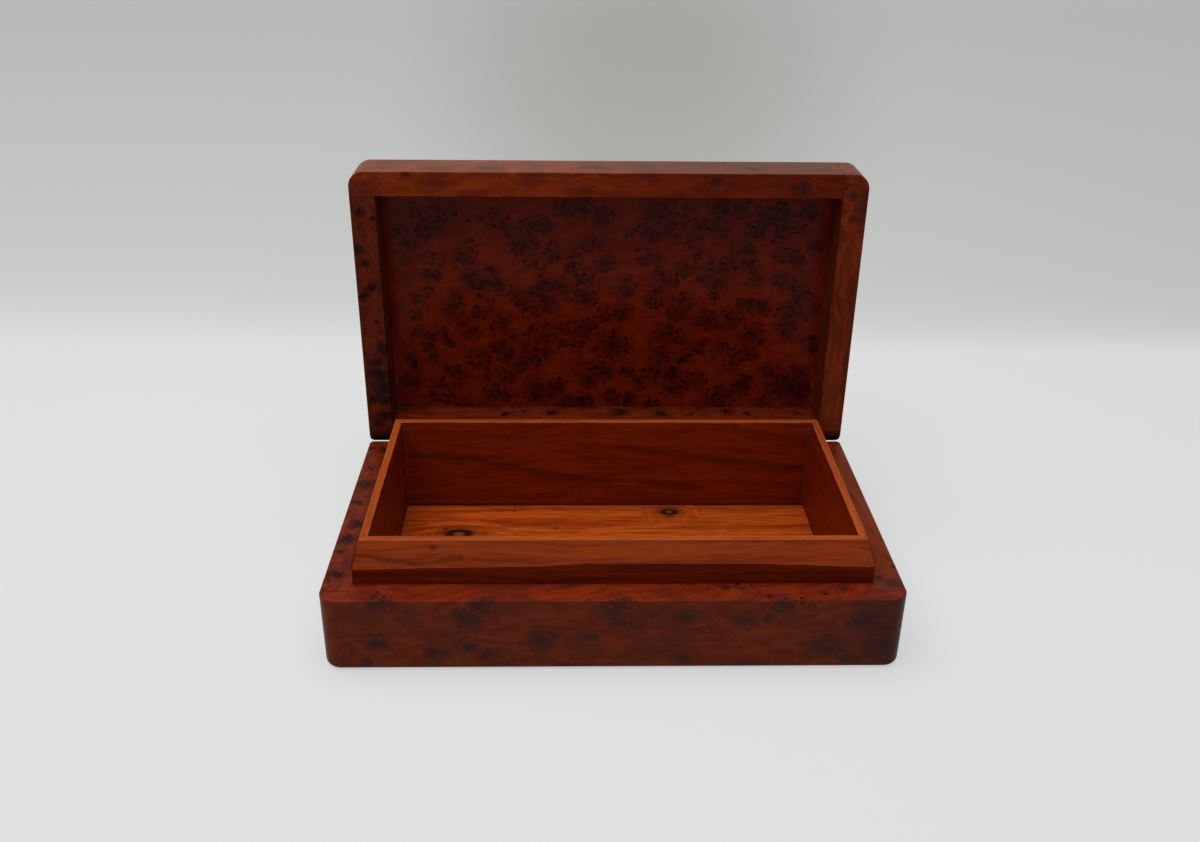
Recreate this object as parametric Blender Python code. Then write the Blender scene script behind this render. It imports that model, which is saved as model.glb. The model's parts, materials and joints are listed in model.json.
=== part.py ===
"""A hinged keepsake box of burl wood, standing with its lid open.

The origin lies under the middle of the whole object, on the surface that it stands on.
X runs along the front, Y from the front to the back, and Z upwards. Lengths are in metres.

The base is a frame of four walls round a bottom board, with a thin tray glued inside it that
stands above the rim. The lid is a frame of four rails round a burl panel. It turns on two
brass hinges let into the back edges, and a square heel on each hinge stops it upright.
"""
import math

import bmesh
import bpy
from mathutils import Matrix

# Whole box
WIDTH = 0.250
DEPTH = 0.145
BASE_HEIGHT = 0.036
LID_HEIGHT = 0.0265
OPENING = math.radians(90.0)

# Clearances
GAP = 0.0003
SEAM = 0.0003
OVERRUN = 0.004
WELD = 0.000001

# Outer form
FRONT_CORNER = 0.0075
BACK_CORNER = 0.0022
OUTER_ARRIS = 0.003
RIM_ARRIS = 0.0004
LEAST_RADIUS = 0.0003
CORNER_STEPS = 12
ARRIS_STEPS = 6

# Walls of the base and the bottom board let in under them
FRONT_WALL = 0.0125
SIDE_WALL = 0.0129
BACK_WALL = 0.0105
FRONT_LIP = 0.0070
BACK_LIP = 0.0050
BOTTOM_BOARD = 0.0072
BOARD_REBATE = 0.0050

# Tray inside the base
TRAY_BOARD = 0.0068
TRAY_RISE = 0.0200
TRAY_BREAK = 0.0102
TRAY_PLANED = 0.0035

# Rails of the lid and the panel let in over them
LID_FRONT_RAIL = 0.0120
LID_SIDE_RAIL = 0.0124
LID_BACK_RAIL = 0.0104
LID_PANEL = 0.0055
PANEL_REBATE = 0.0045
CHAMFER_RUN = 0.0045
CHAMFER_RISE = 0.0030

# Hinges
HINGE_INSET = 0.055
PIVOT_INSET = 0.0009
LEAF_LENGTH = 0.030
LEAF_REACH = 0.0080
LEAF_THICKNESS = 0.0010
KNUCKLE_RADIUS = 0.0019
LID_KNUCKLE = 0.0097
PIN_RADIUS = 0.0008
ROUND_STEPS = 24

# Hinge screws
SCREW_LENGTH = 0.0070
SCREW_POINT = 0.0015
SHANK_RADIUS = 0.0008
HEAD_RADIUS = 0.0016
HEAD_DEPTH = 0.0008
SLOT_WIDTH = 0.0005
SLOT_DEPTH = 0.0004
SCREW_SPREAD = 0.019

# Places worked out from the sizes above
HALF_WIDTH = WIDTH / 2
HALF_SEAM = SEAM / 2
TRAY_SIDE = HALF_WIDTH - SIDE_WALL - GAP
TRAY_FRONT = FRONT_WALL + GAP
TRAY_BACK = DEPTH - BACK_WALL - GAP
TRAY_FOOT = BOTTOM_BOARD + GAP
LID_FRONT = PIVOT_INSET - DEPTH
LID_BACK = PIVOT_INSET
LID_RIM = HALF_SEAM
LID_TOP = HALF_SEAM + LID_HEIGHT
LEAF_FACE = HALF_SEAM + LEAF_THICKNESS
SCREW_PLACE = (KNUCKLE_RADIUS + GAP + LEAF_REACH) / 2
HINGE_PLACES = (HINGE_INSET - HALF_WIDTH, HALF_WIDTH - HINGE_INSET)
SCREW_PLACES = [x + side * SCREW_SPREAD / 2 for x in HINGE_PLACES for side in (-1, 1)]

# Colours of the finishes, as linear red, green and blue, then roughness and metallic value
BURL = ((0.230, 0.048, 0.016), 0.38, 0.0)
DARK_BURL = ((0.150, 0.034, 0.013), 0.30, 0.0)
TRAY_WOOD = ((0.300, 0.078, 0.022), 0.45, 0.0)
FLOOR_WOOD = ((0.420, 0.120, 0.030), 0.50, 0.0)
BRASS = ((0.560, 0.370, 0.130), 0.35, 1.0)


def clear_scene():
    """Takes away whatever the scene holds before the box is made."""
    for item in list(bpy.data.objects):
        bpy.data.objects.remove(item, do_unlink=True)


def make_finish(name, look):
    """A plain material for one piece."""
    colour, roughness, metallic = look
    material = bpy.data.materials.new(name + "_finish")
    material.use_nodes = True
    shader = material.node_tree.nodes["Principled BSDF"]
    shader.inputs["Base Color"].default_value = (*colour, 1.0)
    shader.inputs["Roughness"].default_value = roughness
    shader.inputs["Metallic"].default_value = metallic
    return material


def make_object(name, bm):
    """Turns a finished bmesh into an object with its faces pointing out."""
    bmesh.ops.recalc_face_normals(bm, faces=bm.faces)
    mesh = bpy.data.meshes.new(name)
    bm.to_mesh(mesh)
    bm.free()
    item = bpy.data.objects.new(name, mesh)
    bpy.context.scene.collection.objects.link(item)
    return item


def make_empty(name, location, parent=None, turn=0.0):
    """A guide point that pieces are hung on, turned about X."""
    guide = bpy.data.objects.new(name, None)
    guide.location = location
    guide.rotation_euler = (turn, 0.0, 0.0)
    guide.parent = parent
    bpy.context.scene.collection.objects.link(guide)
    return guide


def carve(piece, cuts):
    """Applies boolean cuts one after another and keeps the result as the piece's own mesh."""
    for operation, tool in cuts:
        step = piece.modifiers.new(tool.name, "BOOLEAN")
        step.operation = operation
        step.solver = "EXACT"
        step.object = tool
    bpy.context.view_layer.update()
    evaluated = piece.evaluated_get(bpy.context.evaluated_depsgraph_get())
    carved = bpy.data.meshes.new_from_object(evaluated)
    piece.modifiers.clear()
    piece.data = carved


def dress(piece, look, parent, location=(0.0, 0.0, 0.0), turn=0.0):
    """Shades a piece, gives it its finish and hangs it in its place, turned about Z."""
    piece.data.shade_smooth()
    piece.data.set_sharp_from_angle(angle=math.radians(35.0))
    piece.data.materials.clear()
    piece.data.materials.append(make_finish(piece.name, look))
    piece.parent = parent
    piece.location = location
    piece.rotation_euler = (0.0, 0.0, turn)


def remove_tools(tools):
    """Takes the cutting shapes out of the scene once they have been used."""
    for tool in tools:
        bpy.data.objects.remove(tool, do_unlink=True)


def add_prism(bm, points, travel):
    """Adds a solid whose flat outline is carried along a straight travel."""
    face = bm.faces.new([bm.verts.new(point) for point in points])
    grown = bmesh.ops.extrude_face_region(bm, geom=[face])
    moved = [part for part in grown["geom"] if isinstance(part, bmesh.types.BMVert)]
    bmesh.ops.translate(bm, verts=moved, vec=travel)


def add_box(bm, low, high):
    """Adds a plain block between two opposite corners."""
    corners = [(low[0], low[1]), (high[0], low[1]), (high[0], high[1]), (low[0], high[1])]
    add_prism(bm, [(x, y, low[2]) for x, y in corners], (0.0, 0.0, high[2] - low[2]))


def box_object(name, low, high):
    """A plain block as an object."""
    bm = bmesh.new()
    add_box(bm, low, high)
    return make_object(name, bm)


def upright_prism(name, outline, low, high):
    """An outline drawn from above, raised from one height to another."""
    bm = bmesh.new()
    add_prism(bm, [(x, y, low) for x, y in outline], (0.0, 0.0, high - low))
    return make_object(name, bm)


def long_prisms(name, outline, spans):
    """An outline drawn from the side, carried along X over each of the spans."""
    bm = bmesh.new()
    for start, end in spans:
        add_prism(bm, [(start, y, z) for y, z in outline], (end - start, 0.0, 0.0))
    return make_object(name, bm)


def arc(radius, start, end):
    """Points round the hinge's axis, with steps of even size."""
    steps = max(2, round(abs(end - start) / math.tau * ROUND_STEPS))
    turns = [start + (end - start) * step / steps for step in range(steps + 1)]
    return [(radius * math.cos(turn), radius * math.sin(turn)) for turn in turns]


def full_circle(radius):
    """A closed circle round the hinge's axis."""
    return arc(radius, 0.0, math.tau)[:-1]


def rounded_outline(front, back, inset):
    """The box seen from above, drawn in by an inset, with its rounded corners."""
    outline = []
    corners = (
        (1, front, FRONT_CORNER, -90.0),
        (1, back, BACK_CORNER, 0.0),
        (-1, back, BACK_CORNER, 90.0),
        (-1, front, FRONT_CORNER, 180.0),
    )
    for side, edge, radius, start in corners:
        own = max(radius - inset, LEAST_RADIUS)
        inward = 1 if edge == front else -1
        x = side * (HALF_WIDTH - inset - own)
        y = edge + inward * (inset + own)
        for step in range(CORNER_STEPS + 1):
            turn = math.radians(start + 90.0 * step / CORNER_STEPS)
            outline.append((x + own * math.cos(turn), y + own * math.sin(turn)))
    return outline


def arris_levels(face, radius, inward):
    """Insets and heights down a rounded arris, from the flat face to the upright side."""
    turns = [math.pi / 2 * step / ARRIS_STEPS for step in range(ARRIS_STEPS + 1)]
    return [(radius * (1 - math.sin(t)), face + inward * radius * (1 - math.cos(t))) for t in turns]


def rounded_block(name, front, back, low, high, low_arris, high_arris):
    """The outer form of the base or the lid, as one solid block with rounded edges."""
    levels = arris_levels(low, low_arris, 1) + arris_levels(high, high_arris, -1)[::-1]
    bm = bmesh.new()
    rings = []
    for inset, height in levels:
        outline = rounded_outline(front, back, inset)
        rings.append([bm.verts.new((x, y, height)) for x, y in outline])
    for lower, upper in zip(rings, rings[1:]):
        for index, corner in enumerate(lower):
            bm.faces.new((lower[index - 1], corner, upper[index], upper[index - 1]))
    bm.faces.new(rings[0][::-1])
    bm.faces.new(rings[-1])
    return make_object(name, bm)


def lapped_outline(face, lip, thickness, inward):
    """A wall seen from above, rebated at both ends to lap over the side walls."""
    shoulder = HALF_WIDTH - SIDE_WALL - GAP
    end = HALF_WIDTH + OVERRUN
    outside = face - inward * OVERRUN
    return [
        (-end, outside),
        (end, outside),
        (end, face + inward * lip),
        (shoulder, face + inward * lip),
        (shoulder, face + inward * thickness),
        (-shoulder, face + inward * thickness),
        (-shoulder, face + inward * lip),
        (-end, face + inward * lip),
    ]


def side_outline(side):
    """A side wall seen from above, between the lips of the front and back walls."""
    outer = side * (HALF_WIDTH + OVERRUN)
    inner = side * (HALF_WIDTH - SIDE_WALL)
    front = FRONT_LIP + GAP
    back = DEPTH - BACK_LIP - GAP
    return [(outer, front), (inner, front), (inner, back), (outer, back)]


def make_base_walls(base):
    """Four walls, rounded together outside and rebated under their inner edges for the board."""
    block = rounded_block("base_block", 0.0, DEPTH, 0.0, BASE_HEIGHT, OUTER_ARRIS, RIM_ARRIS)
    rebate = box_object(
        "board_rebate",
        (-HALF_WIDTH + SIDE_WALL - BOARD_REBATE, FRONT_WALL - BOARD_REBATE, -OVERRUN),
        (HALF_WIDTH - SIDE_WALL + BOARD_REBATE, DEPTH - BACK_WALL + BOARD_REBATE, BOTTOM_BOARD + GAP),
    )
    outlines = {
        "base_front_wall": lapped_outline(0.0, FRONT_LIP, FRONT_WALL, 1),
        "base_back_wall": lapped_outline(DEPTH, BACK_LIP, BACK_WALL, -1),
        "base_left_wall": side_outline(-1),
        "base_right_wall": side_outline(1),
    }
    pocket = DEPTH - PIVOT_INSET
    hinge_cuts = make_hinge_cuts("base_cut", pocket, BASE_HEIGHT + HALF_SEAM, -1)
    for name, outline in outlines.items():
        wall = upright_prism(name, outline, -OVERRUN, BASE_HEIGHT + OVERRUN)
        carve(wall, [("INTERSECT", block), ("DIFFERENCE", rebate)])
        if name == "base_back_wall":
            carve(wall, [("DIFFERENCE", tool) for tool in hinge_cuts])
        dress(wall, BURL, base)
    remove_tools([block, rebate, *hinge_cuts])


def make_bottom_board(base):
    """The floor of the tray, let into the rebate under the walls."""
    edge = BOARD_REBATE - GAP
    board = box_object(
        "base_bottom_board",
        (-HALF_WIDTH + SIDE_WALL - edge, FRONT_WALL - edge, 0.0),
        (HALF_WIDTH - SIDE_WALL + edge, DEPTH - BACK_WALL + edge, BOTTOM_BOARD),
    )
    dress(board, FLOOR_WOOD, base)


def tray_board(name, half_length):
    """A mitred board with its outer upper edge planed away, so that the lid swings past it."""
    section = (
        (0.0, TRAY_FOOT),
        (TRAY_BOARD, TRAY_FOOT),
        (TRAY_BOARD, BASE_HEIGHT + TRAY_RISE),
        (TRAY_PLANED, BASE_HEIGHT + TRAY_RISE),
        (0.0, BASE_HEIGHT + TRAY_BREAK),
    )
    reach = half_length - GAP / math.sqrt(2.0)
    bm = bmesh.new()
    ends = []
    for side in (-1, 1):
        ends.append([bm.verts.new((side * (reach - inset), inset, z)) for inset, z in section])
    for index in range(len(section)):
        bm.faces.new((ends[0][index - 1], ends[0][index], ends[1][index], ends[1][index - 1]))
    for end in ends:
        bm.faces.new(end)
    return make_object(name, bm)


def make_tray(base):
    """Four thin boards that line the base and stand above its rim."""
    middle = (TRAY_FRONT + TRAY_BACK) / 2
    half_depth = (TRAY_BACK - TRAY_FRONT) / 2
    places = (
        ("tray_front_board", TRAY_SIDE, (0.0, TRAY_FRONT, 0.0), 0.0),
        ("tray_right_board", half_depth, (TRAY_SIDE, middle, 0.0), math.pi / 2),
        ("tray_back_board", TRAY_SIDE, (0.0, TRAY_BACK, 0.0), math.pi),
        ("tray_left_board", half_depth, (-TRAY_SIDE, middle, 0.0), -math.pi / 2),
    )
    for name, half_length, location, turn in places:
        dress(tray_board(name, half_length), TRAY_WOOD, base, location, turn)


def rail_areas():
    """Each rail of the lid seen from above. Each laps one neighbour and butts against the other."""
    outer = HALF_WIDTH + OVERRUN
    inner = HALF_WIDTH - LID_SIDE_RAIL
    front = LID_FRONT + LID_FRONT_RAIL
    back = LID_BACK - LID_BACK_RAIL
    return {
        "lid_front_rail": ((-outer, LID_FRONT - OVERRUN), (inner - GAP, front)),
        "lid_right_rail": ((inner, LID_FRONT - OVERRUN), (outer, back - GAP)),
        "lid_back_rail": ((-inner + GAP, back), (outer, LID_BACK + OVERRUN)),
        "lid_left_rail": ((-outer, front + GAP), (-inner, LID_BACK + OVERRUN)),
    }


def chamfer_tool():
    """A three-cornered bar that takes off the lid's back arris, which makes room for the knuckles."""
    length = math.hypot(CHAMFER_RUN, CHAMFER_RISE)
    run = CHAMFER_RUN * OVERRUN / length
    rise = CHAMFER_RISE * OVERRUN / length
    start = (LID_BACK - CHAMFER_RUN - run, LID_RIM - rise)
    end = (LID_BACK + run, LID_RIM + CHAMFER_RISE + rise)
    reach = HALF_WIDTH + OVERRUN
    return long_prisms("back_chamfer", [start, end, (end[0], start[1])], [(-reach, reach)])


def make_lid_rails(lid):
    """Four rails, rounded together outside and rebated over their inner edges for the panel."""
    block = rounded_block("lid_block", LID_FRONT, LID_BACK, LID_RIM, LID_TOP, RIM_ARRIS, OUTER_ARRIS)
    rebate = box_object(
        "panel_rebate",
        (
            -HALF_WIDTH + LID_SIDE_RAIL - PANEL_REBATE,
            LID_FRONT + LID_FRONT_RAIL - PANEL_REBATE,
            LID_TOP - LID_PANEL - GAP,
        ),
        (
            HALF_WIDTH - LID_SIDE_RAIL + PANEL_REBATE,
            LID_BACK - LID_BACK_RAIL + PANEL_REBATE,
            LID_TOP + OVERRUN,
        ),
    )
    chamfer = chamfer_tool()
    hinge_cuts = make_hinge_cuts("lid_cut", 0.0, 0.0, 1)
    for name, (low, high) in rail_areas().items():
        rail = box_object(name, (*low, LID_RIM - OVERRUN), (*high, LID_TOP + OVERRUN))
        cuts = [("INTERSECT", block), ("DIFFERENCE", rebate)]
        if name in ("lid_back_rail", "lid_left_rail"):
            cuts.append(("DIFFERENCE", chamfer))
        if name == "lid_back_rail":
            cuts += [("DIFFERENCE", tool) for tool in hinge_cuts]
        carve(rail, cuts)
        dress(rail, BURL, lid)
    remove_tools([block, rebate, chamfer, *hinge_cuts])


def make_lid_panel(lid):
    """The burl panel, let into the rails from outside and flush with them."""
    edge = PANEL_REBATE - GAP
    panel = box_object(
        "lid_panel",
        (-HALF_WIDTH + LID_SIDE_RAIL - edge, LID_FRONT + LID_FRONT_RAIL - edge, LID_TOP - LID_PANEL),
        (HALF_WIDTH - LID_SIDE_RAIL + edge, LID_BACK - LID_BACK_RAIL + edge, LID_TOP),
    )
    dress(panel, DARK_BURL, lid)


def make_hinge_cuts(name, axis_y, axis_z, into):
    """Pockets for the leaves, grooves for the knuckles and holes for the screws.

    The cuts go down into the base where into is -1, and up into the lid where it is 1.
    """
    half = LEAF_LENGTH / 2 + GAP
    floor = axis_z + into * (LEAF_FACE + GAP)
    open_side = axis_z - into * OVERRUN
    pockets = bmesh.new()
    holes = bmesh.new()
    for x in HINGE_PLACES:
        low = (x - half, axis_y - LEAF_REACH - GAP, min(floor, open_side))
        add_box(pockets, low, (x + half, axis_y + OVERRUN, max(floor, open_side)))
    screw_y = axis_y - SCREW_PLACE
    screw_end = into * (HALF_SEAM + SCREW_LENGTH + GAP)
    circle = full_circle(SHANK_RADIUS + GAP)
    for x in SCREW_PLACES:
        mouth = [(x + across, screw_y + along, axis_z) for across, along in circle]
        add_prism(holes, mouth, (0.0, 0.0, screw_end))
    groove = [(y + axis_y, z + axis_z) for y, z in full_circle(KNUCKLE_RADIUS + GAP)]
    return [
        make_object(name + "_pockets", pockets),
        long_prisms(name + "_grooves", groove, [(x - half, x + half) for x in HINGE_PLACES]),
        make_object(name + "_holes", holes),
    ]


def chamfer_distance():
    """How far the chamfered face of the lid stands from the hinge's axis."""
    area = CHAMFER_RISE * (CHAMFER_RUN - PIVOT_INSET) + CHAMFER_RUN * HALF_SEAM
    return area / math.hypot(CHAMFER_RUN, CHAMFER_RISE)


def heel_reach():
    """How far back the heel goes, so that it meets the chamfered face of the open lid."""
    length = math.hypot(CHAMFER_RUN, CHAMFER_RISE)
    back = CHAMFER_RUN * math.sin(OPENING) - CHAMFER_RISE * math.cos(OPENING)
    return (chamfer_distance() - GAP) * length / back


def base_leaf_outline():
    """Section of the lower leaf: a flat leaf, a round knuckle and a square heel behind it."""
    upper = math.asin(HALF_SEAM / KNUCKLE_RADIUS)
    lower = math.asin(LEAF_FACE / KNUCKLE_RADIUS)
    heel = heel_reach()
    return [
        (-LEAF_REACH, -LEAF_FACE),
        (-LEAF_REACH, -HALF_SEAM),
        *arc(KNUCKLE_RADIUS, math.pi + upper, 0.0),
        (heel, 0.0),
        (heel, -LEAF_FACE),
        *arc(KNUCKLE_RADIUS, -lower, lower - math.pi),
    ]


def lid_leaf_outline():
    """Section of the upper leaf: a flat leaf and a round knuckle."""
    upper = math.asin(LEAF_FACE / KNUCKLE_RADIUS)
    lower = math.asin(HALF_SEAM / KNUCKLE_RADIUS)
    return [
        (-LEAF_REACH, HALF_SEAM),
        (-LEAF_REACH, LEAF_FACE),
        *arc(KNUCKLE_RADIUS, math.pi - upper, -math.pi - lower),
    ]


def notch_tool(name, spans):
    """Blocks that clear the other leaf's knuckles."""
    bm = bmesh.new()
    for start, end in spans:
        add_box(bm, (start, -KNUCKLE_RADIUS - GAP, -OVERRUN), (end, OVERRUN, OVERRUN))
    return make_object(name, bm)


def turned(profile):
    """A solid turned round its own Z from radii and heights that start and end on the axis."""
    bm = bmesh.new()
    verts = [bm.verts.new((radius, 0.0, height)) for radius, height in profile]
    edges = [bm.edges.new(pair) for pair in zip(verts, verts[1:])]
    bmesh.ops.spin(
        bm, geom=verts + edges, axis=(0.0, 0.0, 1.0), angle=math.tau, steps=ROUND_STEPS, use_merge=True
    )
    bmesh.ops.remove_doubles(bm, verts=bm.verts, dist=WELD)
    return bm


def turned_solids(name, profile, places, facing):
    """The same turned solid at several places, with its head up or, facing -1, down."""
    group = bmesh.new()
    for place in places:
        one = turned(profile)
        matrix = Matrix.Translation(place) @ Matrix.Diagonal((1.0, 1.0, facing, 1.0))
        bmesh.ops.transform(one, matrix=matrix, verts=one.verts)
        mesh = bpy.data.meshes.new(name)
        one.to_mesh(mesh)
        one.free()
        group.from_mesh(mesh)
        bpy.data.meshes.remove(mesh)
    return make_object(name, group)


def countersink_tool(name, facing):
    """Holes through a leaf, opened out for the screw heads."""
    profile = [
        (0.0, OVERRUN),
        (HEAD_RADIUS + GAP, OVERRUN),
        (HEAD_RADIUS + GAP, 0.0),
        (SHANK_RADIUS + GAP, -HEAD_DEPTH),
        (SHANK_RADIUS + GAP, -OVERRUN),
        (0.0, -OVERRUN),
    ]
    places = [(side * SCREW_SPREAD / 2, -SCREW_PLACE, -facing * HALF_SEAM) for side in (-1, 1)]
    return turned_solids(name, profile, places, facing)


def make_leaves(base_axis, lid_axis):
    """The two halves of each hinge."""
    half_knuckle = LID_KNUCKLE / 2
    end = LEAF_LENGTH / 2
    bore = long_prisms("pin_bore", full_circle(PIN_RADIUS + GAP), [(-end - OVERRUN, end + OVERRUN)])
    middle_notch = notch_tool("middle_notch", [(-half_knuckle - GAP, half_knuckle + GAP)])
    end_notches = notch_tool(
        "end_notches", [(-end - OVERRUN, -half_knuckle), (half_knuckle, end + OVERRUN)]
    )
    base_sinks = countersink_tool("base_countersinks", 1)
    lid_sinks = countersink_tool("lid_countersinks", -1)
    kinds = (
        ("base_leaf", base_leaf_outline(), middle_notch, base_sinks, base_axis),
        ("lid_leaf", lid_leaf_outline(), end_notches, lid_sinks, lid_axis),
    )
    for kind, outline, notch, sinks, axis in kinds:
        for side, x in zip(("left", "right"), HINGE_PLACES):
            leaf = long_prisms(f"{side}_hinge_{kind}", outline, [(-end, end)])
            carve(leaf, [("DIFFERENCE", tool) for tool in (notch, bore, sinks)])
            dress(leaf, BRASS, axis, (x, 0.0, 0.0))
    remove_tools([bore, middle_notch, end_notches, base_sinks, lid_sinks])


def make_pins(base_axis):
    """The pin of each hinge, as long as its leaves."""
    end = LEAF_LENGTH / 2
    for side, x in zip(("left", "right"), HINGE_PLACES):
        pin = long_prisms(f"{side}_hinge_pin", full_circle(PIN_RADIUS), [(-end, end)])
        dress(pin, BRASS, base_axis, (x, 0.0, 0.0))


def make_screws(kind, axis, facing):
    """Slotted countersunk screws that hold the leaves, with their heads up or, facing -1, down."""
    profile = [
        (0.0, 0.0),
        (HEAD_RADIUS, 0.0),
        (SHANK_RADIUS, -HEAD_DEPTH),
        (SHANK_RADIUS, SCREW_POINT - SCREW_LENGTH),
        (0.0, -SCREW_LENGTH),
    ]
    top = -facing * HALF_SEAM
    heights = sorted((facing * OVERRUN, -facing * SLOT_DEPTH))
    half = SLOT_WIDTH / 2
    reach = HEAD_RADIUS + GAP
    slot = box_object("screw_slot", (-half, -reach, heights[0]), (half, reach, heights[1]))
    for number, x in enumerate(SCREW_PLACES, 1):
        screw = turned_solids(f"{kind}_screw_{number}", profile, [(0.0, 0.0, 0.0)], facing)
        carve(screw, [("DIFFERENCE", slot)])
        dress(screw, BRASS, axis, (x, -SCREW_PLACE, top))
    remove_tools([slot])


def whole_depth():
    """How deep the object is with its lid open, from its front to the back of the lid."""
    corners = [(y, z) for y in (LID_FRONT, LID_BACK) for z in (LID_RIM, LID_TOP)]
    back = max(y * math.cos(OPENING) + z * math.sin(OPENING) for y, z in corners)
    return max(DEPTH, DEPTH - PIVOT_INSET + back)


def make_box():
    """The whole box, hung on guides for the base, the hinges' axis and the lid."""
    clear_scene()
    base = make_empty("box_front", (0.0, -whole_depth() / 2, 0.0))
    axis_place = (0.0, DEPTH - PIVOT_INSET, BASE_HEIGHT + HALF_SEAM)
    base_axis = make_empty("hinge_axis", axis_place, base)
    lid_axis = make_empty("lid_axis", axis_place, base, -OPENING)
    make_base_walls(base)
    make_bottom_board(base)
    make_tray(base)
    make_lid_rails(lid_axis)
    make_lid_panel(lid_axis)
    make_leaves(base_axis, lid_axis)
    make_pins(base_axis)
    make_screws("base", base_axis, 1)
    make_screws("lid", lid_axis, -1)


make_box()
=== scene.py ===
# %% [markdown]
# # A burl wood box, dressed for the camera
#
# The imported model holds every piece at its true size: the walls, the tray, the lid and the hinges.
# This lesson gives those pieces their looks. Each piece is copied, its glued joints are drawn
# together, its hard edges are eased as a maker eases them with fine paper, and each wood gets a
# finish made of noise, never of a picture. Lengths are in metres, X runs along the front, Y to the
# back and Z up.

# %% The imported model
import json
import math

import bmesh
import bpy
from mathutils import Matrix, Vector, noise


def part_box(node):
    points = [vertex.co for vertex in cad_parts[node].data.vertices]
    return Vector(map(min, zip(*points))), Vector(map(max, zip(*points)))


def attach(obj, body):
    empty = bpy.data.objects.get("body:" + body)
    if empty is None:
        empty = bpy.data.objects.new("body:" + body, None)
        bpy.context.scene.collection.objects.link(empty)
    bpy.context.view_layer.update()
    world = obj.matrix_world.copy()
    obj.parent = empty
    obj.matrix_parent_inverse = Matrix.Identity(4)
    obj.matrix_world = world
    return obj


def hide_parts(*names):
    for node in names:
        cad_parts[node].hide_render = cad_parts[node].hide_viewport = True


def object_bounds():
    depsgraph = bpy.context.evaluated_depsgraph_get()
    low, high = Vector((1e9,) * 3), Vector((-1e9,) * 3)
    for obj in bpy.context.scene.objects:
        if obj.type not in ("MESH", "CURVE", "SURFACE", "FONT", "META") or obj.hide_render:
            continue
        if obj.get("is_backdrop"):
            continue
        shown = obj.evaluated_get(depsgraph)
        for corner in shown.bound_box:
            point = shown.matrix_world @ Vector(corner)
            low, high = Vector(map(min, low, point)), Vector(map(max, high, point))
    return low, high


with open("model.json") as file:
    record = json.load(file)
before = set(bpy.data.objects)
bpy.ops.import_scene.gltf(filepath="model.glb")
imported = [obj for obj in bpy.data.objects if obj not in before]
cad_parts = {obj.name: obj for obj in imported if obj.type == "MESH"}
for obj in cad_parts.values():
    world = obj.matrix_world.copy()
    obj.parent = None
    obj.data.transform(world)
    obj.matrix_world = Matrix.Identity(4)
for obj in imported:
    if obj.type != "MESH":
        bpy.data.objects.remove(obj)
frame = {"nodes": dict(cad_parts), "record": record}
MM = 0.001
cad_box = [list(corner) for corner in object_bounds()]


def in_mm(values):
    """Lengths in whole tenths of a millimetre, for a print."""
    return [round(value / MM, 1) for value in values]


print("the model's box, in mm:", *map(in_mm, cad_box))

# %% [markdown]
# ## The camera
#
# The camera stands where the photographer's stood. Its place, lens and tilt were fitted to the
# edges of the box, so a point of the photo can also be followed back onto the box. That is how the
# dark eyes of the burl, further down, find their places: they are noted in the photo's own pixels
# and then thrown onto the wood.

# %% The camera
PHOTO_SIZE = (1200, 842)
SENSOR_WIDTH = 36.0
LENS = 34.32
CAMERA_PLACE = Vector((-18.3, -480.9, 318.0)) * MM
CAMERA_TURN = math.radians(-1.58)
CAMERA_DIP = math.radians(26.54)
CAMERA_ROLL = math.radians(0.75)

camera_turn = (
    Matrix.Rotation(CAMERA_TURN, 3, "Z")
    @ Matrix.Rotation(math.radians(90.0) - CAMERA_DIP, 3, "X")
    @ Matrix.Rotation(CAMERA_ROLL, 3, "Z")
)
lens = bpy.data.cameras.new("camera")
lens.sensor_width = SENSOR_WIDTH
lens.lens = LENS
lens.clip_start = 0.01
camera = bpy.data.objects.new("camera", lens)
camera.matrix_world = Matrix.Translation(CAMERA_PLACE) @ camera_turn.to_4x4()
bpy.context.scene.collection.objects.link(camera)
bpy.context.scene.camera = camera


def from_photo(pixel, axis, level):
    """The point under a pixel of the photo, on the plane where one coordinate has a set level."""
    focus = LENS / SENSOR_WIDTH * PHOTO_SIZE[0]
    across, down = pixel[0] - PHOTO_SIZE[0] / 2, pixel[1] - PHOTO_SIZE[1] / 2
    ray = camera_turn @ Vector((across, -down, -focus))
    return CAMERA_PLACE + ray * ((level - CAMERA_PLACE[axis]) / ray[axis])


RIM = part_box("base_front_wall")[1][2]
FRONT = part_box("base_front_wall")[0][1]
LID_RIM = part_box("lid_left_rail")[0][1]
LID_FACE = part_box("lid_front_rail")[1][2]
PANEL_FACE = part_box("lid_panel")[0][1]
TRAY_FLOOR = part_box("base_bottom_board")[1][2]
TRAY_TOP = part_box("tray_front_board")[1][2]
print("the rim's height and the depth of the lid's panel, in mm:", in_mm((RIM, PANEL_FACE)))

# %% [markdown]
# ## The stage
#
# The photo was taken on a white sweep: a floor that bends up into the backdrop. It could be a
# plane and a white world, but the bend gives the soft change of tone that the photo shows behind
# the box.

# %% The sweep
SWEEP_FRONT = -1.6
SWEEP_HALF_WIDTH = 2.2
SWEEP_BEND = 0.26
SWEEP_RADIUS = 0.2
SWEEP_TOP = 1.5
SWEEP_STEPS = 24


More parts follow.
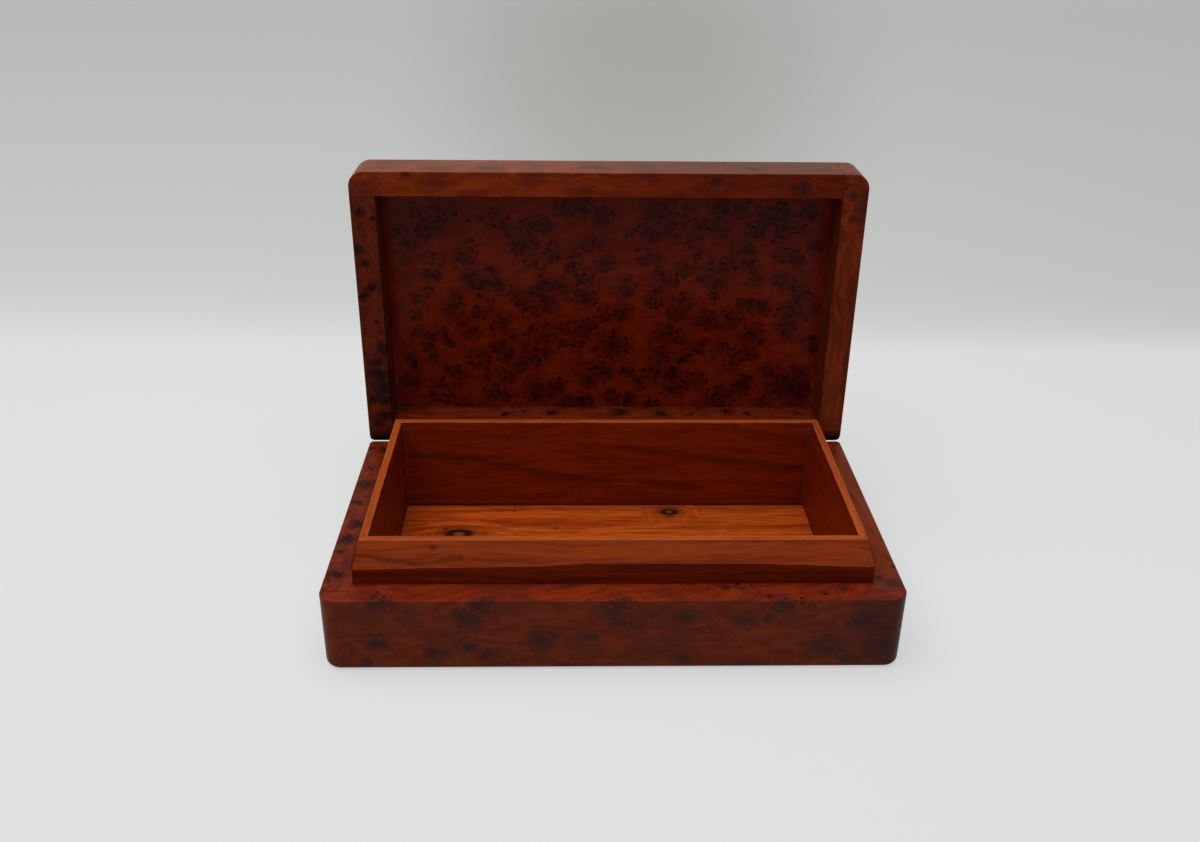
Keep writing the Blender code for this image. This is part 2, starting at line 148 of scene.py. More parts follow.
def make_sweep():
    """The floor and backdrop in one bent sheet."""
    path = [(SWEEP_FRONT, 0.0), (SWEEP_BEND, 0.0)]
    for step in range(1, SWEEP_STEPS + 1):
        turn = math.radians(90.0) * step / SWEEP_STEPS
        back, up = math.sin(turn), 1 - math.cos(turn)
        path.append((SWEEP_BEND + SWEEP_RADIUS * back, SWEEP_RADIUS * up))
    path.append((SWEEP_BEND + SWEEP_RADIUS, SWEEP_TOP))
    points = [(side * SWEEP_HALF_WIDTH, y, z) for y, z in path for side in (-1, 1)]
    faces = [(at, at + 1, at + 3, at + 2) for at in range(0, len(points) - 2, 2)]
    mesh = bpy.data.meshes.new("sweep")
    mesh.from_pydata(points, [], faces)
    mesh.shade_smooth()
    sweep = bpy.data.objects.new("sweep", mesh)
    bpy.context.scene.collection.objects.link(sweep)
    sweep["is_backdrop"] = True
    return sweep


sweep = make_sweep()
print("the sweep bends up", round(SWEEP_BEND - FRONT, 2), "m behind the front of the box")

# %% [markdown]
# ## Light
#
# One large soft lamp hangs above and a little to the left, as the soft shadow at the right of the
# box shows. A weak wide one at the front fills the rest, and so does a grey world, which is made
# further on. The top faces then get about three times the light of the upright ones, which is what
# makes the rim glow and the front stay dark.

# %% The lamps, as name, place, aim, size in metres and power in watts
LAMPS = (
    ("lamp_above", (-0.20, -0.05, 1.25), (0.0, 0.0, 0.0), 1.4, 17.0),
    ("lamp_front", (-0.15, -1.6, 0.75), (0.0, 0.0, 0.05), 1.2, 1.8),
)
for name, place, aim, size, power in LAMPS:
    data = bpy.data.lights.new(name, "AREA")
    data.size = size
    data.energy = power
    lamp = bpy.data.objects.new(name, data)
    lamp.location = place
    lamp.rotation_euler = (Vector(aim) - Vector(place)).to_track_quat("-Z", "Y").to_euler()
    bpy.context.scene.collection.objects.link(lamp)

bpy.context.scene.view_settings.view_transform = "Standard"
print("lamps:", len(LAMPS))

# %% [markdown]
# ## Writing a finish as sums
#
# A wood's colour is a chain of small decisions: where the eyes are, how the grain runs, how dark it
# gets. Wired by hand in the node editor that chain is hard to read. So a small class wraps a
# socket and lets Python's own signs add the nodes: `1 - mask`, `grain * 0.4 + figure`.

# %% A socket that does sums
def kind_of(value):
    """Whether a value is a number, a vector or a colour."""
    if isinstance(value, Wire):
        return value.socket.type
    return "VECTOR" if isinstance(value, (tuple, Vector)) else "VALUE"


class Wire:
    """A node's output. Sums on it add the nodes that work them out."""

    def __init__(self, finish, socket):
        self.finish = finish
        self.socket = socket

    def combine(self, operation, first, second):
        vector = "VECTOR" in (kind_of(first), kind_of(second))
        node = "ShaderNodeVectorMath" if vector else "ShaderNodeMath"
        return self.finish.node(node, {"operation": operation}, {0: first, 1: second})

    def __add__(self, other):
        return self.combine("ADD", self, other)

    __radd__ = __add__

    def __sub__(self, other):
        return self.combine("SUBTRACT", self, other)

    def __rsub__(self, other):
        return self.combine("SUBTRACT", other, self)

    def __mul__(self, other):
        return self.combine("MULTIPLY", self, other)

    __rmul__ = __mul__

    def __truediv__(self, other):
        return self.combine("DIVIDE", self, other)

    def least(self, other):
        return self.combine("MINIMUM", self, other)

    def most(self, other):
        return self.combine("MAXIMUM", self, other)


class Finish:
    """A material that is being made, with the few nodes that all of them share."""

    def __init__(self, name, roughness, specular, metallic=0.0):
        self.material = bpy.data.materials.new(name)
        self.material.use_nodes = True
        self.tree = self.material.node_tree
        self.shader = self.tree.nodes["Principled BSDF"]
        self.shader.inputs["Roughness"].default_value = roughness
        self.shader.inputs["Specular IOR Level"].default_value = specular
        self.shader.inputs["Metallic"].default_value = metallic
        self.place = self.node("ShaderNodeTexCoord", out="Object")

    def node(self, kind, settings=None, sockets=None, out=0):
        """Adds a node: its settings first, then the values or links of its sockets."""
        item = self.tree.nodes.new(kind)
        for name, value in (settings or {}).items():
            setattr(item, name, value)
        for key, value in (sockets or {}).items():
            if isinstance(value, Wire):
                self.tree.links.new(value.socket, item.inputs[key])
            elif kind_of(value) == "VALUE" and item.inputs[key].type == "VECTOR":
                item.inputs[key].default_value = (value, value, value)
            else:
                item.inputs[key].default_value = value
        return Wire(self, item.outputs[out])

    def step(self, value, start, end):
        """Runs smoothly from 0 at the start to 1 at the end, which may be the lower of the two."""
        low, high = min(start, end), max(start, end)
        at_low, at_high = (0.0, 1.0) if start < end else (1.0, 0.0)
        settings = {"interpolation_type": "SMOOTHSTEP", "clamp": True}
        sockets = {0: value, 1: low, 2: high, 3: at_low, 4: at_high}
        return self.node("ShaderNodeMapRange", settings, sockets)

    def mix(self, first, second, factor):
        """A colour between two colours."""
        pair = [value if isinstance(value, Wire) else (*value, 1.0) for value in (first, second)]
        settings = {"data_type": "RGBA", "clamp_factor": True}
        return self.node("ShaderNodeMix", settings, {0: factor, 6: pair[0], 7: pair[1]}, out=2)

    def coats(self, colour, *coats):
        """Lays one coat on another, each a colour with the share that covers."""
        for paint, share in coats:
            colour = self.mix(colour, paint, share)
        return colour

    def cloud(self, place, size, detail=2.0, roughness=0.5):
        """Soft noise from about 0.2 to 0.8, with features of the given size."""
        sockets = {
            "Vector": place, "Scale": 1.0 / size, "Detail": detail, "Roughness": roughness,
        }
        return self.node("ShaderNodeTexNoise", {"noise_dimensions": "3D"}, sockets)

    def drift(self, size, reach, place=None):
        """A place, moved about by slow noise up to about half the reach either way."""
        place = self.place if place is None else place
        sockets = {"Vector": place, "Scale": 1.0 / size, "Detail": 2.0}
        push = self.node("ShaderNodeTexNoise", {"noise_dimensions": "3D"}, sockets, out="Color")
        push = self.node("ShaderNodeVectorMath", {"operation": "SUBTRACT"}, {0: push, 1: 0.5})
        return place + push * reach

    def stretched(self, place, grain, tilt=0.0):
        """The place, squeezed along the grain, which may be turned about the upright."""
        scale = tuple(1.0 / value for value in grain)
        sockets = {"Vector": place, "Rotation": (0.0, 0.0, tilt), "Scale": scale}
        return self.node("ShaderNodeMapping", {"vector_type": "TEXTURE"}, sockets)

    def off(self, value, middle):
        """How far a number is from a middle, either way."""
        return self.node("ShaderNodeMath", {"operation": "ABSOLUTE"}, {0: value - middle})

    def cells(self, place, size, out="Distance"):
        """Distance to the nearest of many scattered points, or another of its outputs."""
        sockets = {"Vector": place, "Scale": 1.0 / size, "Randomness": 1.0}
        return self.node("ShaderNodeTexVoronoi", {"feature": "F1"}, sockets, out=out)

    def part(self, vector, axis):
        """One of the three numbers of a vector."""
        return self.node("ShaderNodeSeparateXYZ", {}, {0: vector}, out="XYZ"[axis])

    def length(self, vector):
        """How long a vector is."""
        return self.node("ShaderNodeVectorMath", {"operation": "LENGTH"}, {0: vector}, out="Value")

    def painted(self, name):
        """A number that the mesh carries on its faces, such as how worn they are."""
        return self.node("ShaderNodeAttribute", {"attribute_name": name}, out="Fac")

    def link(self, name, value):
        """Feeds one of the shader's sockets."""
        self.tree.links.new(value.socket, self.shader.inputs[name])

    def bump(self, height, depth):
        """Raises and sinks the surface by up to the given depth."""
        sockets = {"Height": height, "Distance": depth, "Strength": 1.0}
        self.link("Normal", self.node("ShaderNodeBump", {}, sockets))


print("a finish can now be written as sums")

# %% [markdown]
# ## The world
#
# The world lights the box as a dim grey room does. A view from the side or the back looks past the
# edge of the sweep, so to the camera the world is as pale as the card. Light Path tells a look from
# a bounce of light. The world has nodes as a material has, so it takes the same sums.

# %% A grey room that looks pale
WORLD_COLOUR = (0.97, 0.98, 1.0, 1.0)
WORLD_STRENGTH = 0.2
WORLD_SEEN = 0.62


class Room(Finish):
    """The world as a finish. Only the shader at its end is another one."""

    def __init__(self, name):
        self.world = bpy.data.worlds.new(name)
        self.world.use_nodes = True
        self.tree = self.world.node_tree
        self.shader = self.tree.nodes["Background"]


room = Room("studio")
room.shader.inputs["Color"].default_value = WORLD_COLOUR
looked_at = room.node("ShaderNodeLightPath", out="Is Camera Ray")
room.link("Strength", looked_at * (WORLD_SEEN - WORLD_STRENGTH) + WORLD_STRENGTH)
bpy.context.scene.world = room.world
print("the world lights at", WORLD_STRENGTH, "and looks like", WORLD_SEEN)

# %% [markdown]
# ## The sweep's colour
#
# White card, painted greyer where it rises as shade for the light that falls off up the backdrop,
# with a faint painted shadow of the lid behind it. The camera and the box's polish see a card that
# has partly an even tone of its own, so the box's shadow on it is as faint as the photo's. Light
# that bounces on to the box comes from a darker card, because the photo's studio is not white all
# round.

# %% The sweep's finish
CARD_NEAR = (0.763, 0.783, 0.775)
CARD_FAR = (0.563, 0.575, 0.557)
CARD_BOUNCE = (0.34, 0.35, 0.35)
CARD_LIT = 0.36
CARD_FADE = 7.0 * MM
CARD_FADE_SLOPE = 9.0 * MM
CARD_FADE_LEAST = 3.0 * MM
CARD_SHADOW = (0.400, 0.392, 0.372)
SHADOW_PIXEL = (645, 85)
SHADOW_REACH = 0.23
SHADOW_HEART = 0.03
SHADOW_SHAPE = (1.0, 0.4, 1.25)
SHADOW_SHARE = 0.68
BLACK = (0.0, 0.0, 0.0)


def make_card():
    """The sweep's card, which the camera and the polish see paler than the bounced light does."""
    card = Finish("white_card", 0.9, 0.05)
    up = card.part(card.place, 2)
    # Painted shade: the card greys as it rises, and sooner towards the right.
    fade = (CARD_FADE - card.part(card.place, 0) * CARD_FADE_SLOPE).most(CARD_FADE_LEAST)
    seen = card.mix(CARD_NEAR, CARD_FAR, up / (up + fade))
    # A painted shadow of the lid: a soft darker patch on the backdrop behind it.
    lid_shadow = from_photo(SHADOW_PIXEL, 1, SWEEP_BEND + SWEEP_RADIUS)
    shadow_away = card.length((card.place - tuple(lid_shadow)) * SHADOW_SHAPE)
    shadow_share = card.step(shadow_away, SHADOW_REACH, SHADOW_HEART) * SHADOW_SHARE
    seen = card.mix(seen, CARD_SHADOW, shadow_share)
    camera_ray = card.node("ShaderNodeLightPath", out="Is Camera Ray")
    glossy_ray = card.node("ShaderNodeLightPath", out="Is Glossy Ray")
    looked_at = camera_ray.most(glossy_ray)
    lit = card.mix(BLACK, seen, CARD_LIT)
    even = card.mix(BLACK, seen, 1.0 - CARD_LIT)
    card.link("Base Color", card.mix(CARD_BOUNCE, lit, looked_at))
    card.link("Emission Color", card.mix(BLACK, even, looked_at))
    card.shader.inputs["Emission Strength"].default_value = 1.0
    return card.material


sweep.data.materials.append(make_card())
print("the card is pale to the camera and darker to bounced light")

# %% [markdown]
# ## Burl
#
# A burl is a mass of buds that never grew out. Each bud leaves a small dark eye, the eyes stand in
# clusters, and the grain flows round them. The clusters that the photo shows are noted by pixel and
# size. The faces that it doesn't show get clusters scattered by a cell texture.

# %% Clusters noted in the photo, as pixel across, pixel down and radius in mm
FRONT_CLUSTERS = (
    (377, 643, 5.5), (378, 605, 5), (463, 619, 6), (480, 606, 5), (437, 655, 5),
    (471, 646, 4.5), (487, 654, 4.5), (543, 640, 6), (556, 635, 3), (590, 636, 4),
    (613, 612, 6), (366, 662, 2.5), (622, 606, 4.5), (623, 624, 4.5), (687, 617, 5),
    (745, 619, 6), (769, 618, 3), (784, 606, 5), (680, 658, 4), (865, 620, 7),
    (823, 646, 8), (883, 648, 7), (846, 657, 4), (719, 665, 2.5), (738, 665, 2.5),
)
FRONT_RIM_CLUSTERS = (
    (375, 596, 3.4), (382, 601, 3), (725, 586, 2.6), (738, 586, 3), (770, 596, 1.7),
    (802, 598, 1.8), (825, 593, 2), (845, 590, 3.5), (482, 600, 2),
)
FRONT_RIM_PITS = (
    (770, 597, 0.9), (802, 598, 1), (825, 594, 1), (738, 584, 1), (729, 587, 0.8),
    (745, 587, 0.7), (377, 592, 0.8), (384, 597, 0.8), (372, 598, 0.7),
)
SIDE_RIM_CLUSTERS = (
    (366, 485, 3), (355, 525, 3.4), (344, 540, 3.4), (338, 552, 2.6), (333, 576, 3.6),
    (370, 448, 2.6), (382, 450, 3), (360, 503, 2.2), (364, 497, 1.6), (349, 512, 1.8),
    (372, 468, 1.7),
)
RIGHT_RIM_CLUSTERS = ((896, 584, 4), (880, 577, 2.4), (893, 567, 1.6))
RAIL_CLUSTERS = (
    (361, 212, 2.2), (375, 218, 1.6), (359, 249, 3), (365, 266, 3.4), (371, 290, 3.2),
    (365, 297, 2.4), (374, 322, 2), (384, 349, 3.2), (376, 362, 3.8), (380, 375, 5),
    (385, 388, 6), (390, 399, 4.2), (377, 396, 3.4), (386, 417, 4), (377, 423, 3.2),
    (801, 186, 3), (718, 182, 3), (407, 174, 1.8),
)
RIGHT_RAIL_CLUSTERS = ((868, 200, 5.5), (853, 196, 3.4), (858, 220, 4), (862, 210, 4))
LOW_RAIL_CLUSTERS = (
    (507, 414, 2.6), (524, 412, 2.4), (553, 413, 2.8), (620, 413, 4.5), (661, 414, 4),
    (728, 411, 4.5), (747, 413, 3), (798, 413, 2.4), (690, 415, 2),
)
LID_FACE_CLUSTERS = (
    (491, 168, 9), (384, 168, 5), (594, 167, 8), (706, 166, 6), (753, 169, 8),
    (822, 170, 6), (640, 166, 5),
)
print("clusters noted on the front:", len(FRONT_CLUSTERS))

# %% The panel's clusters, noted in the same way
PANEL_CLUSTERS = (
    (441, 211, 7), (413, 210, 4.5), (428, 221, 6), (434, 229, 5), (422, 233, 3.5),
    (400, 230, 4), (409, 242, 4), (407, 260, 2.5), (429, 257, 4), (440, 257, 4),
    (427, 274, 4), (437, 274, 3.5), (425, 291, 4), (417, 297, 4), (416, 316, 3.5),
    (418, 332, 4), (467, 244, 4), (466, 257, 5), (456, 268, 2), (470, 278, 5.5),
    (491, 272, 4), (483, 284, 5), (497, 286, 5), (481, 296, 3.5), (491, 301, 2.5),
    (456, 294, 4.5), (453, 306, 6), (461, 322, 4.5), (473, 331, 5), (479, 312, 4.5),
    (493, 316, 4), (502, 325, 6.5), (444, 331, 4), (431, 338, 3.5), (448, 340, 3.5),
    (426, 348, 3.5), (432, 357, 3.5), (414, 360, 3.5), (479, 360, 6.5), (501, 345, 5.5),
    (507, 354, 5), (519, 336, 4.5), (541, 333, 8), (529, 350, 5.5), (546, 352, 5),
    (534, 360, 5), (520, 363, 5), (523, 244, 6.5), (536, 261, 6), (553, 253, 5.5),
    (532, 223, 5.5), (546, 227, 4.5), (512, 229, 4.5), (496, 217, 6), (482, 217, 4),
    (465, 219, 3), (574, 204, 8.5), (603, 216, 6), (589, 243, 5.5), (574, 254, 4),
    (574, 269, 4), (584, 278, 5), (570, 295, 5.5), (586, 299, 5.5), (557, 286, 5.5),
    (544, 281, 4.5), (538, 292, 5), (547, 305, 5.5), (514, 293, 4.5), (522, 301, 4.5),
    (531, 310, 5), (606, 262, 5.5), (563, 326, 5), (582, 327, 7), (563, 344, 3.5),
    (578, 346, 4.5), (604, 314, 3.5), (612, 345, 9), (457, 374, 6.5), (444, 387, 5.5),
    (452, 399, 5), (436, 396, 4.5), (469, 403, 5), (412, 380, 4.5), (489, 377, 5),
    (504, 376, 6), (494, 391, 5.5), (508, 394, 4.5), (537, 395, 6.5), (551, 392, 5),
    (557, 386, 5), (600, 371, 6.5), (587, 379, 5.5), (582, 401, 6), (568, 403, 5.5),
    (662, 212, 7.5), (688, 218, 6), (699, 224, 5.5), (677, 228, 6), (692, 236, 6.5),
    (720, 227, 6.5), (722, 209, 5), (645, 231, 5.5), (658, 236, 5), (631, 234, 4),
    (643, 249, 3), (643, 262, 3.5), (654, 257, 4), (698, 254, 5), (695, 268, 3),
    (658, 273, 3), (670, 280, 5), (681, 271, 5), (708, 266, 4.5), (728, 265, 6),
    (707, 279, 4.5), (718, 284, 5), (713, 293, 3), (625, 287, 6), (657, 292, 5),
    (657, 302, 4), (646, 300, 3), (685, 303, 6), (668, 312, 3), (678, 316, 5),
    (605, 315, 5), (622, 313, 5.5), (709, 322, 7), (729, 319, 7), (734, 247, 4.5),
    (747, 249, 4.5), (745, 209, 6), (757, 227, 6.5), (764, 214, 6), (782, 212, 8),
    (789, 225, 8), (808, 212, 5.5), (781, 238, 5), (815, 246, 4.5), (784, 256, 5.5),
    (794, 259, 5), (755, 280, 4.5), (749, 266, 4.5), (780, 278, 5), (788, 284, 4.5),
    (800, 295, 6), (806, 309, 6.5), (789, 312, 7.5), (787, 325, 6), (746, 306, 5.5),
    (759, 307, 5.5), (753, 333, 6.5), (664, 333, 6), (680, 338, 5.5), (664, 351, 7.5),
    (697, 346, 5.5), (682, 355, 6), (722, 350, 7), (733, 362, 6), (747, 354, 5.5),
    (605, 374, 5.5), (629, 372, 4), (652, 373, 5.5), (642, 382, 4.5), (672, 375, 5.5),
    (673, 389, 6), (693, 382, 7), (743, 385, 6.5), (611, 396, 4.5), (628, 398, 4.5),
    (652, 404, 4.5), (720, 397, 7.5), (762, 402, 5), (782, 387, 8), (800, 389, 7),
    (799, 372, 5), (770, 372, 5.5), (812, 344, 5),
)
print("clusters noted on the panel:", len(PANEL_CLUSTERS))


# %% From the photo onto the wood
def thrown(clusters, axis, level, flat=1.0, grow=1.0):
    """Clusters noted in the photo, thrown onto a plane of the box as places with radii.

    A flat below 1 draws them in along the upright, or along Y where they lie on a level face.
    """
    short = 2 if axis == 1 else 1
    found = []
    for across, down, radius in clusters:
        radii = Vector((radius, radius, radius)) * (MM * grow)
        radii[short] *= flat
        found.append((from_photo((across, down), axis, level), radii))
    return found


print("the front's first cluster, in mm:", in_mm(thrown(FRONT_CLUSTERS[:1], 1, FRONT)[0][0]))

# %% [markdown]
# The nearest cluster is found by measuring the distance to each in its own radii and keeping the
# least: 0 in the middle of a cluster and 1 at its edge. A cell texture could do it with one node,
# but could not put the clusters where the photo has them. Added to the place before the streaks are
# looked up, the same distance makes them run round a cluster as growth rings run round a bud.

# %% The nearest cluster
NOWHERE = 9.0
SCATTERED_RADIUS = 5.5 * MM
SEEN_DEPTH = (2.5 * MM, 0.4 * MM)


def nearest(finish, place, clusters):
    """Distance to the nearest cluster, in its own radii."""
    found = NOWHERE
    for middle, radii in clusters:
        scale = Vector([1.0 / radius for radius in radii])
        offset = Vector([-a * b for a, b in zip(middle, scale)])
        away = finish.node(
            "ShaderNodeVectorMath", {"operation": "MULTIPLY_ADD"},
            {0: place, 1: tuple(scale), 2: tuple(offset)},
        )
        found = finish.length(away).least(found)
    return found


def scattered(finish, place, spacing, share, seen):
    """Distance to clusters strewn through the wood, kept off a face whose clusters are noted."""
    away = finish.cells(place, spacing) * (spacing / SCATTERED_RADIUS)
    chosen = finish.node("ShaderNodeSeparateColor", {}, {0: finish.cells(place, spacing, "Color")})
    away = away + finish.step(chosen, share, share + 0.02) * NOWHERE
    if seen is not None:
        axis, level = seen
        depth = finish.off(finish.part(finish.place, axis), level)
        away = away + finish.step(depth, *SEEN_DEPTH) * NOWHERE
    return away


print("a face without noted clusters gets them at random")

# %% [markdown]
# ## Old glue
#
# Where two boards meet, a little glue dried in a thin, broken, pale line. It could be a strip of
# mesh, but it has no thickness to speak of, so it is a line in the colour: how far a place is from
# the joint, waved by noise and broken by it.

# %% Lines of glue
GLUE = (0.240, 0.095, 0.045)
GLUE_LINE_WIDTH = (0.55 * MM, 0.15 * MM)
GLUE_FADE = 3.0 * MM
GLUE_SHARE = 0.45


def glued(finish, colour, lines):
    """Lays thin pale lines of old glue: the axis and place of each, and its span along another."""
    for axis, at, along, start, end, waver in lines:
        wave = (finish.cloud(finish.place, 5.0 * MM, detail=3.0) - 0.5) * waver
        away = finish.off(finish.part(finish.place, axis) + wave, at)
        line = finish.step(away, *GLUE_LINE_WIDTH)
        span = finish.part(finish.place, along)
        middle, half = (start + end) / 2, abs(end - start) / 2
        line = line * finish.step(finish.off(span, middle), half, half - GLUE_FADE)
        broken = finish.step(finish.cloud(finish.place, 3.0 * MM, detail=2.0), 0.36, 0.56)
        colour = finish.mix(colour, GLUE, line * broken * GLUE_SHARE)
    return colour


print("glue reaches this far from a joint, in mm:", in_mm(GLUE_LINE_WIDTH[:1]))

# %% [markdown]
# ## The burl finish
#
# The finish is laid on in layers, much in the order in which the wood came by its marks: the
# ground, two browns in streaks with plum-coloured patches; the clusters, a smoky halo with growth
# rings, a dark core and dots; then dark joint lines, darkening towards the lid's lower end, pits,
# glue, painted shade on the faces within and a greyish painted sheen for the reflection on the
# polished outside; last the eased edges, darker where they aren't rubbed bare. One recipe with a
# few settings keeps all the boards kin.

# %% The burl recipe
FLECK = (0.0280, 0.0100, 0.0100)
SMOKE = (0.0460, 0.0093, 0.0076)
SOOT = (0.0190, 0.0062, 0.0052)
DOT = (0.0150, 0.0028, 0.0018)
SMUDGE = (0.0480, 0.0056, 0.0024)
DARK_BROWN = (0.0300, 0.0075, 0.0040)
WORN = (0.330, 0.085, 0.035)
PAINTED_SHEEN = (0.150, 0.105, 0.062)
SHADE_WITHIN = (0.075, 0.0260, 0.0040)
PLUM = (0.085, 0.0108, 0.0060)
FLOW_REACH = 2.4
FLOW = 3.2 * MM
FIGURE_SIZE = 3.6 * MM
FIBRE_SIZE = 0.8 * MM
BRUISE_SIZE = 15 * MM
SPECKLE_SIZE = 2.2 * MM
RING_SIZE = 1.5 * MM
DOT_SHAPE = (0.72, 0.72, 1.0)
LAP_WIDTH = (0.7 * MM, 0.1 * MM)
PORE_DEPTH = 0.02 * MM


def burl(
    name, grain, clusters, ground, plum=PLUM, tilt=0.0, figured=0.13, bruised=0.5, change=None,
    smoke=SMOKE, smoke_share=0.85, least_depth=0.5, core=0.35, ring_share=0.45, torn=1.0,
    fleck=FLECK, dot_share=0.6, dot_cell=2.3 * MM, dot_reach=0.46,
    scatter=0.0, spacing=19 * MM, seen=None,
    laps=(), darker_ends=(), pits=(), specks=(), glue=(), inner_shade=0.0, sheen_share=0.15,
    roughness=0.36, specular=0.055,
):
    """A burl finish. The grain is a vector that is short along the streaks.

    A change gives a second ground, the axis it comes in along, where it starts and ends, and how
    much of it shows off the outside. The least depth is how dark the faintest clusters are, a
    higher figured gives a calmer ground, torn roughens the outlines of the clusters, and the
    inner shade paints shade on the faces within. Seen is the axis and level of the face whose
    clusters are noted.
    """
    finish = Finish(name, roughness, specular)
    place = finish.place
    ragged = finish.drift(3.2 * MM, 2.4 * MM * torn, finish.drift(11 * MM, 6 * MM * torn))
    away = nearest(finish, ragged, clusters)
    if scatter > 0.0:
        away = scattered(finish, ragged, spacing, scatter, seen).least(away)
    flow = away.least(FLOW_REACH) * FLOW
    bent = finish.stretched(finish.drift(26 * MM, 10 * MM), grain, tilt) + flow
    figure = finish.cloud(bent, FIGURE_SIZE, detail=3.0)
    fibres = finish.cloud(bent, FIBRE_SIZE, detail=3.0, roughness=0.7)
    tone = finish.step(figure * 0.55 + fibres * 0.45, 0.5 - figured, 0.5 + figured)
    wood = finish.mix(*ground, tone)
    outer = finish.painted("outer")
    if change is not None:
        other, axis, start, end, on_rim = change
        along = finish.part(finish.drift(20 * MM, 24 * MM), axis)
        amount = finish.step(along, start, end) * outer.most(on_rim)
        wood = finish.mix(wood, finish.mix(*other, tone), amount)
    bruise = finish.step(finish.cloud(place, BRUISE_SIZE), 0.46, 0.66)

    speckle = finish.cloud(ragged, SPECKLE_SIZE, detail=3.0, roughness=0.6)
    speckle = speckle * 0.6 + finish.cloud(bent, 1.3 * MM) * 0.4
    edge = away + (speckle - 0.5) * 1.5
    depth = finish.step(finish.cloud(place, 12 * MM), 0.34, 0.60)
    depth = depth * (1.0 - least_depth) + least_depth
    halo = finish.step(edge, 1.40, 0.20) * depth
    rings = finish.step(finish.cloud(bent, RING_SIZE), 0.50, 0.60)
    middle = finish.step(edge, 0.85, 0.0)
    dot = finish.step(finish.cells(ragged * DOT_SHAPE, dot_cell), dot_reach, dot_reach * 0.3)
    dot = dot * finish.step(edge, 1.15, 0.80)
    colour = finish.coats(
        wood, (plum, bruise * bruised), (smoke, halo * smoke_share),
        (fleck, halo * rings * ring_share), (fleck, middle * core), (fleck, dot * dot_share),
    )

    for axis, at in laps:
        line = finish.step(finish.off(finish.part(place, axis), at), *LAP_WIDTH)
        colour = finish.mix(colour, DARK_BROWN, line * 0.6)
    # Darker towards a given end, such as the lid's lower end.
    for axis, start, full in darker_ends:
        darker_share = finish.step(finish.part(place, axis), start, full)
        colour = finish.mix(colour, DARK_BROWN, darker_share * 0.75)
    for spots, paint, full in ((pits, DOT, 0.6), (specks, GLUE, 0.5)):
        if spots:
            spot = finish.step(nearest(finish, place, spots), 1.0, full)
            colour = finish.mix(colour, paint, spot)
    colour = glued(finish, colour, glue)
    # Painted sheen: a greyish film on the polished outside that stands for its reflection.
    sheen = outer * (0.45 + figure + (speckle - 0.5) * 0.8)
    # The eased edges are darker where they aren't rubbed bare, and paler where they are.
    worn = finish.painted("worn")
    rubbed = finish.step(finish.cloud(place, 4.0 * MM, detail=3.0), 0.54, 0.70)
    # Painted shade darkens the faces within, as far as the inner shade share says.
    colour = finish.coats(
        colour, (SHADE_WITHIN, finish.painted("inner") * inner_shade), (PAINTED_SHEEN, sheen * sheen_share),
        (DARK_BROWN, worn * 0.55), (WORN, worn * rubbed * 0.45),
    )
    finish.link("Base Color", colour)
    finish.link("Roughness", roughness + dot * 0.08 + (fibres - 0.5) * 0.12 + worn * 0.3)
    finish.bump(fibres * 0.4 - dot * 0.8, PORE_DEPTH)
    return finish.material


print("the burl recipe is ready")

# %% [markdown]
# ## The burl boards
#
# The front was sawn from wood with a slanting grain and darkens towards its right end. The left
# wall and the left rail have nearly black clusters, the right ones are almost clear, and the panel
# is the richest. Each board's ground is a pair of colours, a dark and a light one, and so is the
# other ground that it may change into.

# %% Grains and grounds
ALONG_X = (0.12, 1.0, 1.0)
ALONG_Y = (1.0, 0.12, 1.0)
ALONG_Z = (1.0, 1.0, 0.12)
PANEL_GRAIN = (0.5, 1.0, 1.0)
FRONT_TILT = math.radians(14.0)
WALL_WOOD = ((0.112, 0.0115, 0.0026), (0.240, 0.0250, 0.0050))
DUSK_WOOD = ((0.058, 0.0095, 0.0065), (0.110, 0.0160, 0.0100))
SIDE_WOOD = ((0.088, 0.0092, 0.0024), (0.205, 0.0262, 0.0054))
RAIL_WOOD = ((0.072, 0.0080, 0.0024), (0.170, 0.0215, 0.0052))
DULL_WOOD = ((0.105, 0.0130, 0.0028), (0.245, 0.0330, 0.0056))
PLAIN_WOOD = ((0.135, 0.0185, 0.0030), (0.215, 0.0330, 0.0058))
RED_WOOD = ((0.105, 0.0085, 0.0013), (0.200, 0.0190, 0.0027))
PALE_WOOD = ((0.175, 0.0190, 0.0024), (0.305, 0.0395, 0.0050))
LEDGE_WOOD = ((0.125, 0.0130, 0.0030), (0.270, 0.0310, 0.0060))
PANEL_WOOD = ((0.125, 0.0075, 0.0010), (0.235, 0.0200, 0.0026))
PANEL_PLUM = (0.085, 0.0060, 0.0022)

print("the panel's ground is", PANEL_WOOD)

# %% The marks on each board
front_marks = (
    thrown(FRONT_CLUSTERS, 1, FRONT, 0.64, 1.28) + thrown(FRONT_RIM_CLUSTERS, 2, RIM)
)
front_pits = thrown(FRONT_RIM_PITS, 2, RIM, 0.9)
side_marks = thrown(SIDE_RIM_CLUSTERS, 2, RIM, 0.85, 1.35)
right_marks = thrown(RIGHT_RIM_CLUSTERS, 2, RIM, grow=1.2)
side_lap = ((1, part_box("base_left_wall")[0][1]),)

rail_marks = (
    thrown(RAIL_CLUSTERS, 1, LID_RIM, 0.78, 1.35) + thrown(LID_FACE_CLUSTERS, 2, LID_FACE, 0.5)
)
right_rail_marks = thrown(RIGHT_RAIL_CLUSTERS, 1, LID_RIM, 0.8)
rail_pits = thrown(((846.4, 188.9, 1.0),), 1, LID_RIM, 0.45)
rail_specks = thrown(((838, 255, 0.35), (840, 395, 0.35), (842, 372, 0.3)), 1, LID_RIM)
LID_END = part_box("lid_back_rail")[0][2]
# The lid's rails get darker towards its lower end.
lid_lower_end = ((2, LID_END + 13 * MM, LID_END + 3 * MM),)

